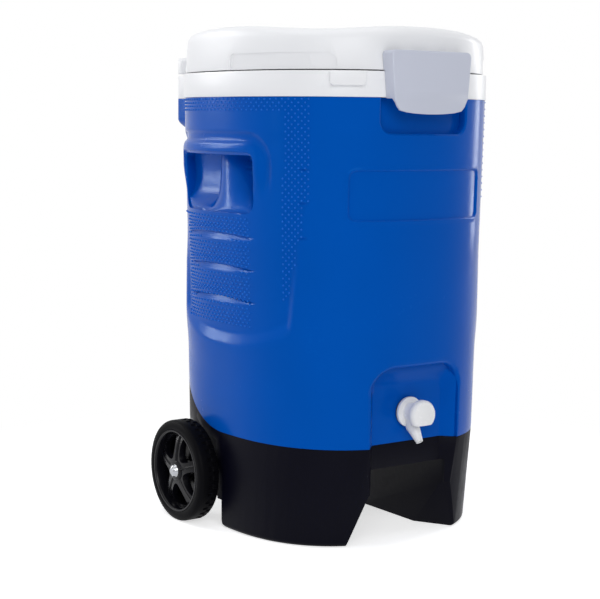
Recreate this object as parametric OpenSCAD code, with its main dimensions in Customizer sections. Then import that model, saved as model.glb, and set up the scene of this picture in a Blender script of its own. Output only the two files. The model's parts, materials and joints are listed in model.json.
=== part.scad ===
// Insulated drink cooler on two wheels: a near-round double-walled drum on a moulded base,
// with a hinged and latched lid, a push-button spigot and a pull-up tow handle at the back.
// The origin is on the floor under the drum's axis, -Y is the spigot side, +Z is up.

/* [Drum] */
// Width of the drum under its collar
drum_w = 336; // [326:1:346]
// Depth of the drum under its collar, front to back
drum_d = 372; // [364:1:380]
// How much narrower the drum is where it meets the base
drum_taper_w = 16; // [8:1:20]
// How much less deep the drum is where it meets the base
drum_taper_d = 10; // [4:1:14]
// Power of the curve of the drum's plan, 2 is an ellipse and more is squarer
plan_power = 2.5; // [2.4:0.05:2.7]
// Height of the drum's top edge over the floor
drum_top = 524; // [510:1:540]
// Wall of the outer shell
shell_wall = 4.5; // [4:0.1:5]

/* [Tank] */
// Insulation between the outer shell and the tank at the sides
foam_side = 39; // [37:0.5:42]
// Insulation between the outer shell and the tank at the front and the back
foam_ends = 51; // [49:0.5:54]
// Wall of the tank
tank_wall = 3; // [2.5:0.1:3.5]
// How much narrower and less deep the tank is at its floor
tank_taper = 10; // [6:1:14]
// Height of the tank's outer floor under its front edge
tank_floor = 130; // [128:0.5:132]
// Rise of the tank's floor to the back, for each millimetre of depth
tank_slope = 0.22; // [0.21:0.005:0.24]
// Width of the flange round the tank's mouth
flange_w = 12; // [9:0.5:14]
// Thickness of the flange round the tank's mouth
flange_t = 3; // [2.5:0.5:4]

/* [Grip pockets] */
// Height of a pocket's lower lip over the floor
pocket_z = 388; // [380:1:396]
// Height of a pocket's opening
pocket_h = 68; // [60:1:74]
// Length of a pocket, front to back
pocket_l = 168; // [156:1:176]
// How far a pocket's middle lies behind the drum's axis
pocket_y = 21; // [14:1:24]
// Depth of a pocket
pocket_depth = 30; // [24:1:31]
// Wall round a pocket and round the spigot's alcove
pocket_wall = 3; // [2.5:0.5:3]
// How far the raised frame round a pocket stands proud of the drum
frame_proud = 2.5; // [1.5:0.5:4]
// Width of the raised frame round a pocket
frame_w = 18; // [12:1:20]

/* [Side panels and label] */
// Depth of the sunk panel under each pocket
panel_depth = 2.2; // [1:0.1:2.5]
// Height of the sunk panel's lower edge over the floor
panel_z = 232; // [222:1:242]
// Length of the sunk panel, front to back
panel_l = 224; // [208:1:232]
// Width of the sunk label place on the front
label_w = 192; // [170:1:200]
// Height of the sunk label place
label_h = 56; // [48:1:64]
// Height of the label's middle over the floor
label_z = 413; // [405:1:421]
// Depth of the sunk label place
label_depth = 1.2; // [0.6:0.1:1.6]

/* [Spigot alcove] */
// Width of the alcove at the drum's face
alcove_w = 134; // [124:1:140]
// Width of the alcove's flat back
alcove_back_w = 104; // [96:1:112]
// Depth of the alcove behind the drum's front, at the base
alcove_depth = 24; // [20:0.5:26]
// Height of the alcove's top over the floor
alcove_top = 212; // [204:1:220]

/* [Base] */
// Height of the base at the front and the sides
base_h = 119; // [115:1:121]
// How far the base's top edge climbs to the back
base_rise = 75; // [66:1:75]
// Width of the base at the floor
foot_w = 318; // [312:1:319]
// Depth of the base at the floor
foot_d = 332; // [324:1:340]
// Wall of the base
base_wall = 4; // [3.5:0.1:4.5]
// Width of the tunnel between the two legs
tunnel_w = 114; // [104:1:116]
// Height of the tunnel between the two legs
tunnel_h = 90; // [84:1:96]
// How far the legs reach behind the drum's axis
leg_back = 3; // [0:0.5:4]

/* [Wheels and axle] */
// Diameter of a tyre
wheel_d = 126; // [118:1:132]
// Width of a tyre
wheel_w = 29; // [24:1:31]
// Diameter of the rim under the tyre
rim_d = 103; // [96:1:106]
// Number of spokes in a wheel
spokes = 5; // [4:1:7]
// How far the axle lies behind the drum's axis
axle_y = 61; // [60:1:66]
// Diameter of the axle
axle_d = 10; // [8:0.5:12]
// Gap between the base's side and the tyre
wheel_gap = 3.5; // [3:0.5:5]

/* [Tow handle] */
// Distance between the two handle tubes
tube_gap = 140; // [134:1:142]
// Diameter of a handle tube
tube_d = 14; // [13:0.5:14]
// Wall of a handle tube
tube_wall = 1.2; // [1:0.1:1.5]
// Wall of a guide tube
guide_wall = 1; // [0.8:0.1:1.2]
// How far the handle pulls out
handle_travel = 380; // [340:5:390]
// How far the handle housing stands out behind the drum
housing_out = 12; // [11:0.5:14]
// Width of the handle housing and of the grip
housing_w = 224; // [212:1:228]
// Width of the column behind the drum that holds the guide tubes
column_w = 168; // [164:1:176]
// Height of the grip over its seat
grip_h = 21; // [18:0.5:22]

/* [Collar, lid and hinge] */
// Height of the collar over the drum's edge
collar_h = 29.5; // [28:0.5:32]
// Wall of the collar
collar_wall = 4; // [3.5:0.5:4.5]
// Thickness of the collar's deck, which the lid closes on
deck_t = 4.5; // [4:0.5:5]
// Gap between the collar and the lid
lid_gap = 1.5; // [1.2:0.1:2]
// Height of the lid
lid_h = 48.5; // [46:0.5:51]
// Wall of the lid's two skins
lid_wall = 3; // [2.5:0.5:3.5]
// Height by which the lid's rim rises at the front and the sides and falls between them
lid_wave = 2.5; // [0:0.5:3.5]
// How deep the lid's plug reaches into the tank
plug_depth = 24; // [16:1:26]
// How far the hinge axis lies in front of the drum's back
hinge_in = 28; // [27:0.5:31]
// Height of the hinge axis over the collar
hinge_rise = 31.5; // [30:0.5:33]
// Distance of a hinge ear's middle from the middle of the cooler
hinge_x = 46; // [36:1:52]
// Diameter of the hinge pins
hinge_pin_d = 5; // [4:0.5:5]

/* [Latch] */
// Width of the latch at its top
latch_w = 112; // [104:1:114]
// Width of the latch where it leaves the collar
latch_low_w = 104; // [96:1:106]
// Height of the latch
latch_h = 69; // [66:1:72]
// How far the latch's face stands out before the collar
latch_out = 11; // [10:0.5:13]
// Wall of the latch
latch_wall = 3; // [2.5:0.5:3]
// Diameter of the latch's pin
latch_pin_d = 3.4; // [3:0.2:3.6]

/* [Spigot] */
// Height of the spigot's axis over the floor
spigot_z = 155; // [153:0.5:158]
// Diameter of the spigot's flange
flange_d = 36; // [32:0.5:38]
// Diameter of the threaded barrel
barrel_d = 21; // [19:0.5:22]
// Diameter of the push button
button_d = 35; // [32:0.5:37]
// Thickness of the push button
button_t = 12; // [10:0.5:13]
// How far the push button travels
button_travel = 5; // [4:0.5:5.5]
// Diameter of the spout
spout_d = 16.4; // [15:0.2:16.4]
// Height of the spout's tip over the floor
spout_tip = 121; // [118:0.5:124]

/* [Hidden] */

// Fits: a seat that only touches, a sliding fit and a turning fit
seat = 0.3;
slide = 0.1;
turn = 0.06;
// Cuts run past the faces they open by this much
past = 1;

// Colours
blue = "#0a3fc4";
white = "#eef0f1";
grey = "#a7aebd";
black = "#1c1d22";
steel = "#b9bcc0";
chrome = "#d8dade";
foam = "#f2e6b4";
rubber = "#3a3a3c";

// Number of sides of a lofted outline, and of the arc in a rounded corner
plan_steps = 64;
arc_steps = 5;
$fn = 48;

// ---- outlines -------------------------------------------------------------------------

function mix(a, b, t) = a + (b - a) * t;
function curve(v) = sign(v) * pow(abs(v), 2 / plan_power);
function ring(half_w, half_d, z, slope = 0, wave = 0) = [
    for (i = [0 : plan_steps - 1]) let (a = 360 * i / plan_steps, y = half_d * curve(sin(a)))
        [half_w * curve(cos(a)), y,
            z + slope * (y + half_d) + wave * cos(4 * a) * min(1, max(0, 1 - 1.6 * sin(a)))]
];
// Distance from the axis of a plan curve, at a given place across it
function reach_at(across, half_across, half_along) =
    half_along * pow(1 - pow(abs(across) / half_across, plan_power), 1 / plan_power);
function corner(x, y, r, from) = [
    for (i = [0 : arc_steps]) let (a = from + 90 * i / arc_steps) [x + r * cos(a), y + r * sin(a)]
];
// Rounded rectangle from (x0, y0) to (x1, y1); the lower corners take r0 and the upper ones r1
function plate(x0, y0, x1, y1, r0, r1) = concat(
    corner(x1 - r0, y0 + r0, r0, -90), corner(x1 - r1, y1 - r1, r1, 0),
    corner(x0 + r1, y1 - r1, r1, 90), corner(x0 + r0, y0 + r0, r0, 180)
);

// Closed solid through a stack of rings with the same number of points
module loft(rings) {
    n = len(rings[0]);
    last = (len(rings) - 1) * n;
    points = [for (r = rings) each r];
    sides = [
        for (k = [0 : len(rings) - 2]) for (i = [0 : n - 1])
            let (j = (i + 1) % n, a = k * n, b = a + n)
                each [[a + i, b + i, b + j], [a + i, b + j, a + j]]
    ];
    floor_face = [for (i = [0 : n - 1]) i];
    top_face = [for (i = [0 : n - 1]) last + n - 1 - i];
    polyhedron(points, concat(sides, [floor_face, top_face]));
}
// A straight ring wall or plug that follows the drum's plan
module plan_prism(half_w, half_d, z0, z1) {
    translate([0, 0, z0]) linear_extrude(z1 - z0)
        polygon([for (p = ring(half_w, half_d, 0)) [p.x, p.y]]);
}
// An outline in the (y, z) plane drawn out along X, and one in the (x, z) plane along Y
module along_x(x0, x1) {
    translate([x0, 0, 0]) rotate([90, 0, 90]) linear_extrude(x1 - x0) children();
}
module along_y(y0, y1) {
    translate([0, y1, 0]) rotate([90, 0, 0]) linear_extrude(y1 - y0) children();
}
module bar_x(d, x0, x1) { translate([x0, 0, 0]) rotate([0, 90, 0]) cylinder(d = d, h = x1 - x0); }
module bar_y(d, y0, y1) { translate([0, y0, 0]) rotate([-90, 0, 0]) cylinder(d = d, h = y1 - y0); }
module both_sides() { children(); mirror([1, 0, 0]) children(); }

// ---- drum sizes -----------------------------------------------------------------------

drum_hw = drum_w / 2;
drum_hd = drum_d / 2;
back_reach = drum_hd + housing_out;
hinge_y = drum_hd - hinge_in;
low_hw = drum_hw - drum_taper_w / 2;
low_hd = drum_hd - drum_taper_d / 2;
function drum_hw_at(z) = mix(low_hw, drum_hw, (z - base_h) / (drum_top - base_h));
function drum_hd_at(z) = mix(low_hd, drum_hd, (z - base_h) / (drum_top - base_h));
function foot_hw_at(z) = mix(foot_w / 2, low_hw, z / base_h);
function foot_hd_at(z) = mix(foot_d / 2, low_hd, z / base_h);

// Parting between the base and the drum: level in front, climbing in a quarter wave to the back
climb_from = 0;
climb_to = 150;
climb_steps = 10;
climb = [
    for (i = [0 : climb_steps]) let (t = i / climb_steps)
        [mix(climb_from, climb_to, t), base_h + base_rise * (1 - cos(90 * t))]
];
function part_z(y) = base_h + base_rise
    * (1 - cos(90 * min(1, max(0, (y - climb_from) / (climb_to - climb_from)))));
far = 260;
module below_parting(lift) {
    along_x(-far, far) polygon(concat(
        [[-far, -far], [-far, base_h + lift]],
        [for (p = climb) [p.x, p.y + lift]],
        [[far, base_h + base_rise + lift], [far, -far]]
    ));
}
module drum(inset, z0, z1) {
    loft([for (z = [z0, z1]) ring(drum_hw_at(z) - inset, drum_hd_at(z) - inset, z)]);
}
function foot_ring(inset, z) = ring(foot_hw_at(z) - inset, foot_hd_at(z) - inset, z);
module foot(inset, z0, z1) { loft([foot_ring(inset, z0), foot_ring(inset, z1)]); }
// The base's lower edge is rounded off: how far in, and how far up
foot_edge = [[3.5, 0], [1, 1.5], [0, 4.5]];
module foot_outside(z1) {
    loft(concat([for (e = foot_edge) foot_ring(e[0], e[1])], [foot_ring(0, z1)]));
}

// Column behind the drum, and its wider head under the handle housing
column_r = 14;
housing_r = 15;
head_h = 28;
head_slope = 22;
column_in = 120;
module column(inset, z0, z1) {
    translate([0, 0, z0]) linear_extrude(z1 - z0) polygon(plate(
        -column_w / 2 + inset, column_in, column_w / 2 - inset, back_reach - inset,
        1, column_r - inset));
}
module housing_plan(inset) {
    polygon(plate(-housing_w / 2 + inset, column_in, housing_w / 2 - inset, back_reach - inset,
        1, housing_r - inset));
}
module column_head(inset) {
    head_z = drum_top - head_h;
    intersection() {
        translate([0, 0, head_z - head_slope]) linear_extrude(head_h + head_slope)
            housing_plan(inset);
        along_y(column_in, far) polygon([
            [-column_w / 2 + inset, head_z - head_slope], [column_w / 2 - inset, head_z - head_slope],
            [housing_w / 2 + inset, head_z], [housing_w / 2 + inset, drum_top + past],
            [-housing_w / 2 - inset, drum_top + past], [-housing_w / 2 - inset, head_z]
        ]);
    }
}

// ---- pockets, panels, label, scoop and alcove -------------------------------------------

pocket_top = pocket_z + pocket_h;
pocket_y0 = pocket_y - pocket_l / 2;
pocket_y1 = pocket_y + pocket_l / 2;
pocket_x = drum_hw_at(pocket_top) - pocket_depth;
pocket_r = 14;
ramp_h = 44;
ramp_lip = 6;
module pocket(grow) {
    intersection() {
        along_x(pocket_x - grow, far)
            polygon(plate(pocket_y0 - grow, pocket_z - grow, pocket_y1 + grow, pocket_top + grow,
                pocket_r + grow, pocket_r / 2 + grow));
        along_y(-far, far) polygon([
            [far, pocket_z - grow], [drum_hw - ramp_lip - grow, pocket_z - grow],
            [pocket_x - grow, pocket_z + ramp_h - grow], [pocket_x - grow, pocket_top + grow],
            [far, pocket_top + grow]
        ]);
    }
}
module pocket_frame() {
    intersection() {
        drum(-frame_proud, pocket_z - far / 4, pocket_top + far / 4);
        along_x(0, far) polygon(plate(
            pocket_y0 - frame_w, pocket_z - frame_w / 3, pocket_y1 + frame_w, pocket_top + frame_w,
            pocket_r, pocket_r + frame_w / 2));
    }
}
panel_top = pocket_z - frame_w / 2;
panel_r = 34;
module side_panel() {
    difference() {
        along_x(drum_hw / 2, far) polygon(plate(
            pocket_y - panel_l / 2 - frame_w, panel_z, pocket_y + panel_l / 2 - frame_w, panel_top,
            panel_r, past));
        drum(panel_depth, panel_z - far / 4, panel_top + far / 4);
    }
}
label_r = 8;
module label_place() {
    difference() {
        along_y(-far, -drum_hd / 2) polygon(plate(
            -label_w / 2, label_z - label_h / 2, label_w / 2, label_z + label_h / 2,
            label_r, label_r));
        drum(label_depth, label_z - label_h, label_z + label_h);
    }
}
// Scoop under the latch, where the fingers go
scoop_w = latch_w + 14;
scoop_z = drum_top - 40;
scoop_depth = 12;
scoop_r = 14;
module scoop(grow) {
    difference() {
        along_y(-far, -drum_hd / 2) polygon(plate(
            -scoop_w / 2 - grow, scoop_z - grow, scoop_w / 2 + grow, drum_top + scoop_r + grow,
            scoop_r + grow, scoop_r));
        drum(scoop_depth + grow, scoop_z - far / 4, drum_top + far / 4);
    }
}
alcove_y = -(low_hd - alcove_depth);
alcove_flare = 15;
alcove_r = 26;
module alcove(grow) {
    intersection() {
        translate([0, 0, -past]) linear_extrude(alcove_top + far) polygon([
            [-alcove_back_w / 2 - grow, alcove_y + grow], [alcove_back_w / 2 + grow, alcove_y + grow],
            [alcove_w / 2 + grow, alcove_y - alcove_flare], [alcove_w / 2 + grow, -far],
            [-alcove_w / 2 - grow, -far], [-alcove_w / 2 - grow, alcove_y - alcove_flare]
        ]);
        along_y(-far, 0) polygon(plate(
            -alcove_w / 2 - grow, -far, alcove_w / 2 + grow, alcove_top + grow, 1, alcove_r + grow));
    }
}

// ---- screws that hold the base ----------------------------------------------------------

base_screw_at = [[94, -112], [132, -28], [118, 92]];
base_screw_d = 4.4;
base_screw_head = 9;
boss_d = 11;
boss_h = 13;
access_d = 15;
module at_base_screws() {
    for (p = base_screw_at) both_sides() translate([p.x, p.y, part_z(p.y)]) children();
}

// ---- handle places ----------------------------------------------------------------------

tube_x = tube_gap / 2;
guide_d = tube_d + 2 + 2 * guide_wall + 2 * slide;
guide_bore = guide_d - 2 * guide_wall;
tube_y = back_reach - shell_wall / 2 - 2 * seat - guide_d / 2;
guide_foot = base_h - base_wall;
collar_top = drum_top + collar_h;
bush_flange = 2;
grip_z = collar_top + bush_flange + 2 * seat;
module at_tube(side) { translate([side * tube_x, tube_y, 0]) children(); }

// ---- outer shell ------------------------------------------------------------------------

module shell_cavity() {
    difference() {
        union() {
            drum(shell_wall, base_h / 2, drum_top + far / 4);
            column(shell_wall / 2, base_h / 2, drum_top + past);
        }
        below_parting(shell_wall);
        both_sides() pocket(pocket_wall);
        alcove(pocket_wall);
        scoop(pocket_wall);
        at_base_screws() cylinder(d = boss_d, h = shell_wall + boss_h);
    }
}
module outer_shell() color(blue) {
    difference() {
        union() {
            drum(0, base_h / 2, drum_top);
            column(0, base_h / 2, drum_top);
            column_head(0);
            both_sides() pocket_frame();
        }
        shell_cavity();
        below_parting(0);
        both_sides() pocket(0);
        both_sides() side_panel();
        label_place();
        scoop(0);
        alcove(0);
        translate([0, 0, spigot_z]) bar_y(barrel_d + 2 * seat, alcove_y - past, alcove_y + far / 4);
        for (side = [-1, 1]) at_tube(side) translate([0, 0, base_h])
            cylinder(d = guide_d + 2 * seat, h = base_rise + shell_wall + past);
        at_base_screws() translate([0, 0, -boss_h]) cylinder(d = base_screw_d, h = 2 * boss_h);
    }
}

// ---- tank and insulation ----------------------------------------------------------------

tank_hw = drum_hw - shell_wall - foam_side;
tank_hd = drum_hd - shell_wall - foam_ends;
flange_z = collar_top - deck_t - seat;
module tank_body(inset, grow_top) {
    floor_hw = tank_hw - tank_taper / 2 - inset;
    floor_hd = tank_hd - tank_taper / 2 - inset;
    loft([
        ring(floor_hw, floor_hd, tank_floor + inset + tank_slope * inset, tank_slope),
        ring(tank_hw - inset, tank_hd - inset, flange_z + grow_top)
    ]);
}
spigot_boss_d = barrel_d + 13;
tank_front = alcove_y + pocket_wall + seat;
module tank_liner() color(white) {
    difference() {
        union() {
            difference() {
                union() {
                    tank_body(0, 0);
                    plan_prism(tank_hw + flange_w, tank_hd + flange_w, flange_z - flange_t, flange_z);
                }
                tank_body(tank_wall, past);
            }
            translate([0, 0, spigot_z]) bar_y(spigot_boss_d, tank_front, -tank_hd + tank_taper);
        }
        translate([0, 0, spigot_z])
            bar_y(barrel_d + 2 * seat, tank_front - past, -tank_hd + 2 * tank_taper);
    }
}
// Locating ring under the collar, inside the shell
skirt_h = 14;
skirt_t = 2.5;
skirt_inset = shell_wall + seat;
foam_step = drum_top - skirt_h - seat;
foam_top = flange_z - flange_t - seat;
module foam_core() color(foam) {
    difference() {
        union() {
            drum(shell_wall + seat, base_h / 2, foam_step);
            drum(skirt_inset + skirt_t + seat, foam_step - past, foam_top);
        }
        below_parting(shell_wall + seat);
        difference() {
            tank_body(-seat, 0);
            plan_prism(tank_hw + flange_w, tank_hd + flange_w, foam_top + past, far * 3);
        }
        both_sides() pocket(pocket_wall + seat);
        alcove(pocket_wall + seat);
        scoop(pocket_wall + seat);
        translate([0, 0, spigot_z]) bar_y(spigot_boss_d + 2 * seat, -drum_hd, 0);
        at_base_screws() cylinder(d = boss_d + 2 * seat, h = shell_wall + boss_h + seat);
        for (side = [-1, 1]) at_tube(side) cylinder(d = guide_d + 2 * seat, h = foam_top + past);
        latch_keep_out();
        translate([-far, tube_y - guide_d - seat, foam_step]) cube([2 * far, far, far]);
    }
}
// The scoop and the catch stay clear of the foam under the collar
module latch_keep_out() {
    translate([-scoop_w / 2, -far, drum_top - skirt_h])
        cube([scoop_w, far - drum_hd + scoop_depth + pocket_wall + 2 * seat, far]);
}

// ---- collar -----------------------------------------------------------------------------

collar_over = 1;
collar_hw = drum_hw + collar_over;
collar_hd = drum_hd + collar_over;
latch_reach = collar_hd + latch_out;
mouth_hw = tank_hw - tank_wall;
mouth_hd = tank_hd - tank_wall;
hinge_z = collar_top + hinge_rise;
ear_t = 9;
ear_d = 14;
lug_turn = 31.5;
lug_w = 42;
lug_proud = 3;
lug_h = 15;
catch_w = 50;
catch_z = collar_top - 17;
catch_h = 5;
catch_proud = 4.5;
finger_w = 92;
finger_h = 22;
finger_in = 20;
module collar() color(white) {
    scoop_roof();
    difference() {
        union() {
            plan_prism(collar_hw, collar_hd, drum_top + seat, collar_top);
            translate([0, 0, drum_top + seat]) linear_extrude(collar_h - seat) housing_plan(0);
            drum(skirt_inset, drum_top - skirt_h, collar_top - past);
            collar_lug();
            both_sides() hinge_ear();
            latch_catch();
        }
        difference() {
            union() {
                drum(skirt_inset + skirt_t, drum_top - skirt_h - past, collar_top - deck_t);
                plan_prism(collar_hw - collar_wall, collar_hd - collar_wall,
                    drum_top + collar_wall, collar_top - deck_t);
            }
            housing_core();
        }
        plan_prism(mouth_hw, mouth_hd, drum_top - far / 4, collar_top + past);
        for (side = [-1, 1]) at_tube(side) translate([0, 0, drum_top - skirt_h - past])
            cylinder(d = guide_d + 2 * slide, h = collar_h + skirt_h + 2 * past);
        translate([-finger_w / 2, back_reach - finger_in, collar_top - finger_h])
            cube([finger_w, finger_in + past, finger_h + past]);
        both_sides() translate([0, hinge_y, hinge_z]) bar_x(hinge_pin_d + 2 * slide, 0, drum_hw);
        difference() {
            scoop(pocket_wall + seat);
            translate([-far, -far, drum_top + seat]) cube([2 * far, far, far]);
        }
    }
}
// Ledge of the collar that closes the scoop from above
roof_t = 3;
module scoop_roof() {
    intersection() {
        plan_prism(collar_hw - past, collar_hd - past, drum_top + seat, drum_top + seat + roof_t);
        translate([-scoop_w / 2 - pocket_wall, -far, drum_top])
            cube([scoop_w + 2 * pocket_wall, far - drum_hd + scoop_depth + pocket_wall, far]);
    }
}
// Solid block in the handle housing that the guide tubes stand in
module housing_core() {
    translate([0, 0, drum_top - skirt_h]) linear_extrude(collar_h + skirt_h)
        polygon(plate(-housing_w / 2, tube_y - guide_d, housing_w / 2, back_reach, 1, 1));
}
module collar_lug() {
    intersection() {
        rotate(-lug_turn) translate([-lug_w / 2, -drum_hd * 1.2, collar_top - lug_h])
            cube([lug_w, drum_hd * 0.5, lug_h]);
        loft([
            ring(collar_hw - past, collar_hd - past, collar_top - lug_h),
            ring(collar_hw + lug_proud, collar_hd + lug_proud, collar_top - lug_h / 2),
            ring(collar_hw + lug_proud, collar_hd + lug_proud, collar_top - past)
        ]);
    }
}
module hinge_ear() {
    translate([hinge_x - ear_t / 2, hinge_y, 0]) {
        translate([0, 0, hinge_z]) rotate([0, 90, 0]) cylinder(d = ear_d, h = ear_t);
        translate([0, -ear_d / 2, collar_top - deck_t]) cube([ear_t, ear_d, hinge_rise + deck_t]);
    }
}
module latch_catch() {
    along_x(-catch_w / 2, catch_w / 2) polygon([
        [-collar_hd + collar_wall / 2, catch_z], [-collar_hd - catch_proud, catch_z],
        [-collar_hd - catch_proud, catch_z + catch_h / 3],
        [-collar_hd + collar_wall / 2, catch_z + 2 * catch_h]
    ]);
}

// ---- lid --------------------------------------------------------------------------------

lid_z = collar_top + lid_gap;
lid_top_z = lid_z + lid_h;
lid_hw = drum_hw - 2;
lid_hd = drum_hd - 0.5;
lid_back = hinge_y + 5.5;
lid_draft = 2;
shoulder = 13;
// Shoulder of the lid: insets and drops that follow a quarter of an ellipse
shoulder_steps = 4;
lid_rings = concat(
    [[0, 0, 0]],
    [for (i = [0 : shoulder_steps]) let (a = 90 * i / shoulder_steps)
        [lid_draft + 1.6 * shoulder * (1 - cos(a)), lid_h - shoulder * (1 - sin(a)), 1]]
);
module lid_form(inset) {
    loft(concat(
        [for (r = lid_rings) ring(lid_hw - r[0] - inset, lid_hd - r[0] - inset,
            lid_z + r[1] - (r[2] > 0 ? inset : inset > 0 ? past : 0), 0, r[2] * lid_wave)],
        [ring(lid_hw / 3, lid_hd / 3, lid_top_z - inset)]
    ));
}
module behind(y) { translate([-far, y, 0]) cube([2 * far, far, 3 * far]); }
notch_gap = 1;
notch_front = hinge_y - ear_d / 2 - 5.5;
knuckle_t = 5;
knuckle_d = 13;
latch_pin_y = -(latch_reach - 6.5);
latch_pin_z = collar_top + lid_gap + 13;
latch_lug_t = 8;
latch_lug_d = 6;
latch_lug_gap = 30;
recess_depth = 3;
recess_h = 18;
recess_from = -132;
recess_to = -22;
module lid_top() color(white) {
    difference() {
        union() {
            difference() {
                lid_form(0);
                behind(lid_back);
                difference() {
                    lid_form(lid_wall);
                    behind(lid_back - lid_wall);
                    both_sides() notch_walls(knuckle_t);
                }
            }
            both_sides() hinge_knuckles();
            for (k = [-1, 0, 1]) latch_lug(k * latch_lug_gap);
        }
        both_sides() notch(0);
        both_sides() translate([0, hinge_y, hinge_z])
            bar_x(hinge_pin_d + 2 * turn, hinge_x - ear_t / 2 - knuckle_t - 2 * past,
                hinge_x + ear_t / 2 + knuckle_t + 2 * past);
        translate([0, latch_pin_y, latch_pin_z])
            bar_x(latch_pin_d + 2 * turn, -latch_w / 2, latch_w / 2);
        both_sides() finger_recess();
    }
}
// Notch in the lid's back that an ear of the collar stands in
module notch(grow) {
    translate([hinge_x - ear_t / 2 - notch_gap - grow, notch_front - grow, lid_z - 3 * past])
        cube([ear_t + 2 * notch_gap + 2 * grow, far, lid_h + 6 * past + lid_wave]);
}
module notch_walls(grow) {
    intersection() {
        notch(grow);
        translate([0, 0, lid_z + lid_wall + 3 * seat]) cube([far, far, lid_h]);
    }
}
module hinge_knuckles() {
    for (x = [hinge_x - ear_t / 2 - notch_gap - knuckle_t, hinge_x + ear_t / 2 + notch_gap])
        translate([x, hinge_y, hinge_z]) rotate([0, 90, 0])
            cylinder(d = knuckle_d - 2, h = knuckle_t);
}
module latch_lug(x) {
    translate([x - latch_lug_t / 2, latch_pin_y, latch_pin_z]) {
        rotate([0, 90, 0]) cylinder(d = latch_lug_d, h = latch_lug_t);
        translate([0, 0, -latch_lug_d / 2])
            cube([latch_lug_t, -latch_pin_y - lid_hd + lid_draft, latch_lug_d]);
    }
}
// Ledge cut into the lid's lower edge, for the fingers that lift it
module finger_recess() {
    difference() {
        along_x(drum_hw / 2, far) polygon(plate(
            recess_from, lid_z - recess_h, recess_to, lid_z + recess_h, 1, recess_h / 2));
        loft([ring(lid_hw - recess_depth, lid_hd - recess_depth, lid_z - far / 4),
            ring(lid_hw - recess_depth, lid_hd - recess_depth, lid_z + far / 4)]);
    }
}
under_inset = lid_wall + 3 * seat;
plug_clear = 3;
plug_taper = 5;
plug_hw = mouth_hw - plug_clear;
plug_hd = mouth_hd - plug_clear;
plate_z = lid_z + seat;
plug_z = collar_top - plug_depth;
module plug(inset, z1) {
    loft([
        ring(plug_hw - plug_taper - inset, plug_hd - plug_taper - inset, plug_z + inset),
        ring(plug_hw - inset, plug_hd - inset, z1)
    ]);
}
module lid_underside() color(white) {
    difference() {
        union() {
            difference() {
                plan_prism(lid_hw - under_inset, lid_hd - under_inset, plate_z, plate_z + lid_wall);
                behind(lid_back - lid_wall - seat);
            }
            plug(0, plate_z + past);
        }
        plug(lid_wall, plate_z + lid_wall + past);
        both_sides() notch(seat);
        both_sides() finger_clear();
    }
}
module finger_clear() {
    difference() {
        along_x(drum_hw / 2, far) polygon(plate(
            recess_from - lid_wall, lid_z - recess_h, recess_to + lid_wall, lid_z + recess_h + lid_wall,
            1, recess_h / 2));
        loft([for (z = [lid_z - far / 4, lid_z + far / 4])
            ring(lid_hw - recess_depth - lid_wall, lid_hd - recess_depth - lid_wall, z)]);
    }
}
module lid_foam() color(foam) {
    difference() {
        union() {
            difference() {
                lid_form(lid_wall + seat);
                translate([0, 0, plate_z + lid_wall + seat - 2 * far])
                    linear_extrude(2 * far) square(4 * far, center = true);
            }
            plug(lid_wall + seat, plate_z + lid_wall + 2 * past);
        }
        behind(lid_back - lid_wall - seat);
        both_sides() notch(knuckle_t + seat);
        both_sides() finger_clear();
    }
}
gasket_w = 7;
module lid_gasket() color(rubber) {
    difference() {
        plan_prism(mouth_hw + gasket_w + 1, mouth_hd + gasket_w + 1, collar_top + seat, plate_z - slide);
        plan_prism(mouth_hw + 1, mouth_hd + 1, collar_top, lid_top_z);
    }
}
module hinge_pin(side) color(steel) {
    x0 = hinge_x - ear_t / 2 - notch_gap - knuckle_t + past;
    mirror([side < 0 ? 1 : 0, 0, 0]) translate([0, hinge_y, hinge_z])
        bar_x(hinge_pin_d, x0, x0 + ear_t + 2 * notch_gap + 2 * knuckle_t - 2 * past);
}
module hinge_pin_left() hinge_pin(-1);
module hinge_pin_right() hinge_pin(1);

// ---- latch ------------------------------------------------------------------------------

latch_top = latch_pin_z + 6.5;
latch_low = latch_top - latch_h;
latch_lip = 18;
latch_lip_w = 0.78 * latch_low_w;
latch_r = 6;
hook_gap = 1;
hook_t = 4;
flank_back = -reach_at(latch_w / 2 - latch_wall, collar_hw, collar_hd) - past;
latch_bosses = [[-44, -36], [-24, -6], [6, 24], [36, 44]];
module latch_outline(inset) {
    half = latch_w / 2 - inset;
    low = latch_low_w / 2 - inset;
    lip = latch_lip_w / 2 - inset;
    z_low = latch_low + latch_lip;
    polygon(concat(
        corner(half - latch_r, latch_top - latch_r - inset, latch_r, 0),
        corner(-half + latch_r, latch_top - latch_r - inset, latch_r, 90),
        [[-low, z_low], [-low + 2, z_low - latch_lip / 2], [-lip, latch_low + 2 + inset],
        [-lip / 2, latch_low + inset], [lip / 2, latch_low + inset], [lip, latch_low + 2 + inset],
        [low - 2, z_low - latch_lip / 2], [low, z_low]]
    ));
}
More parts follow.
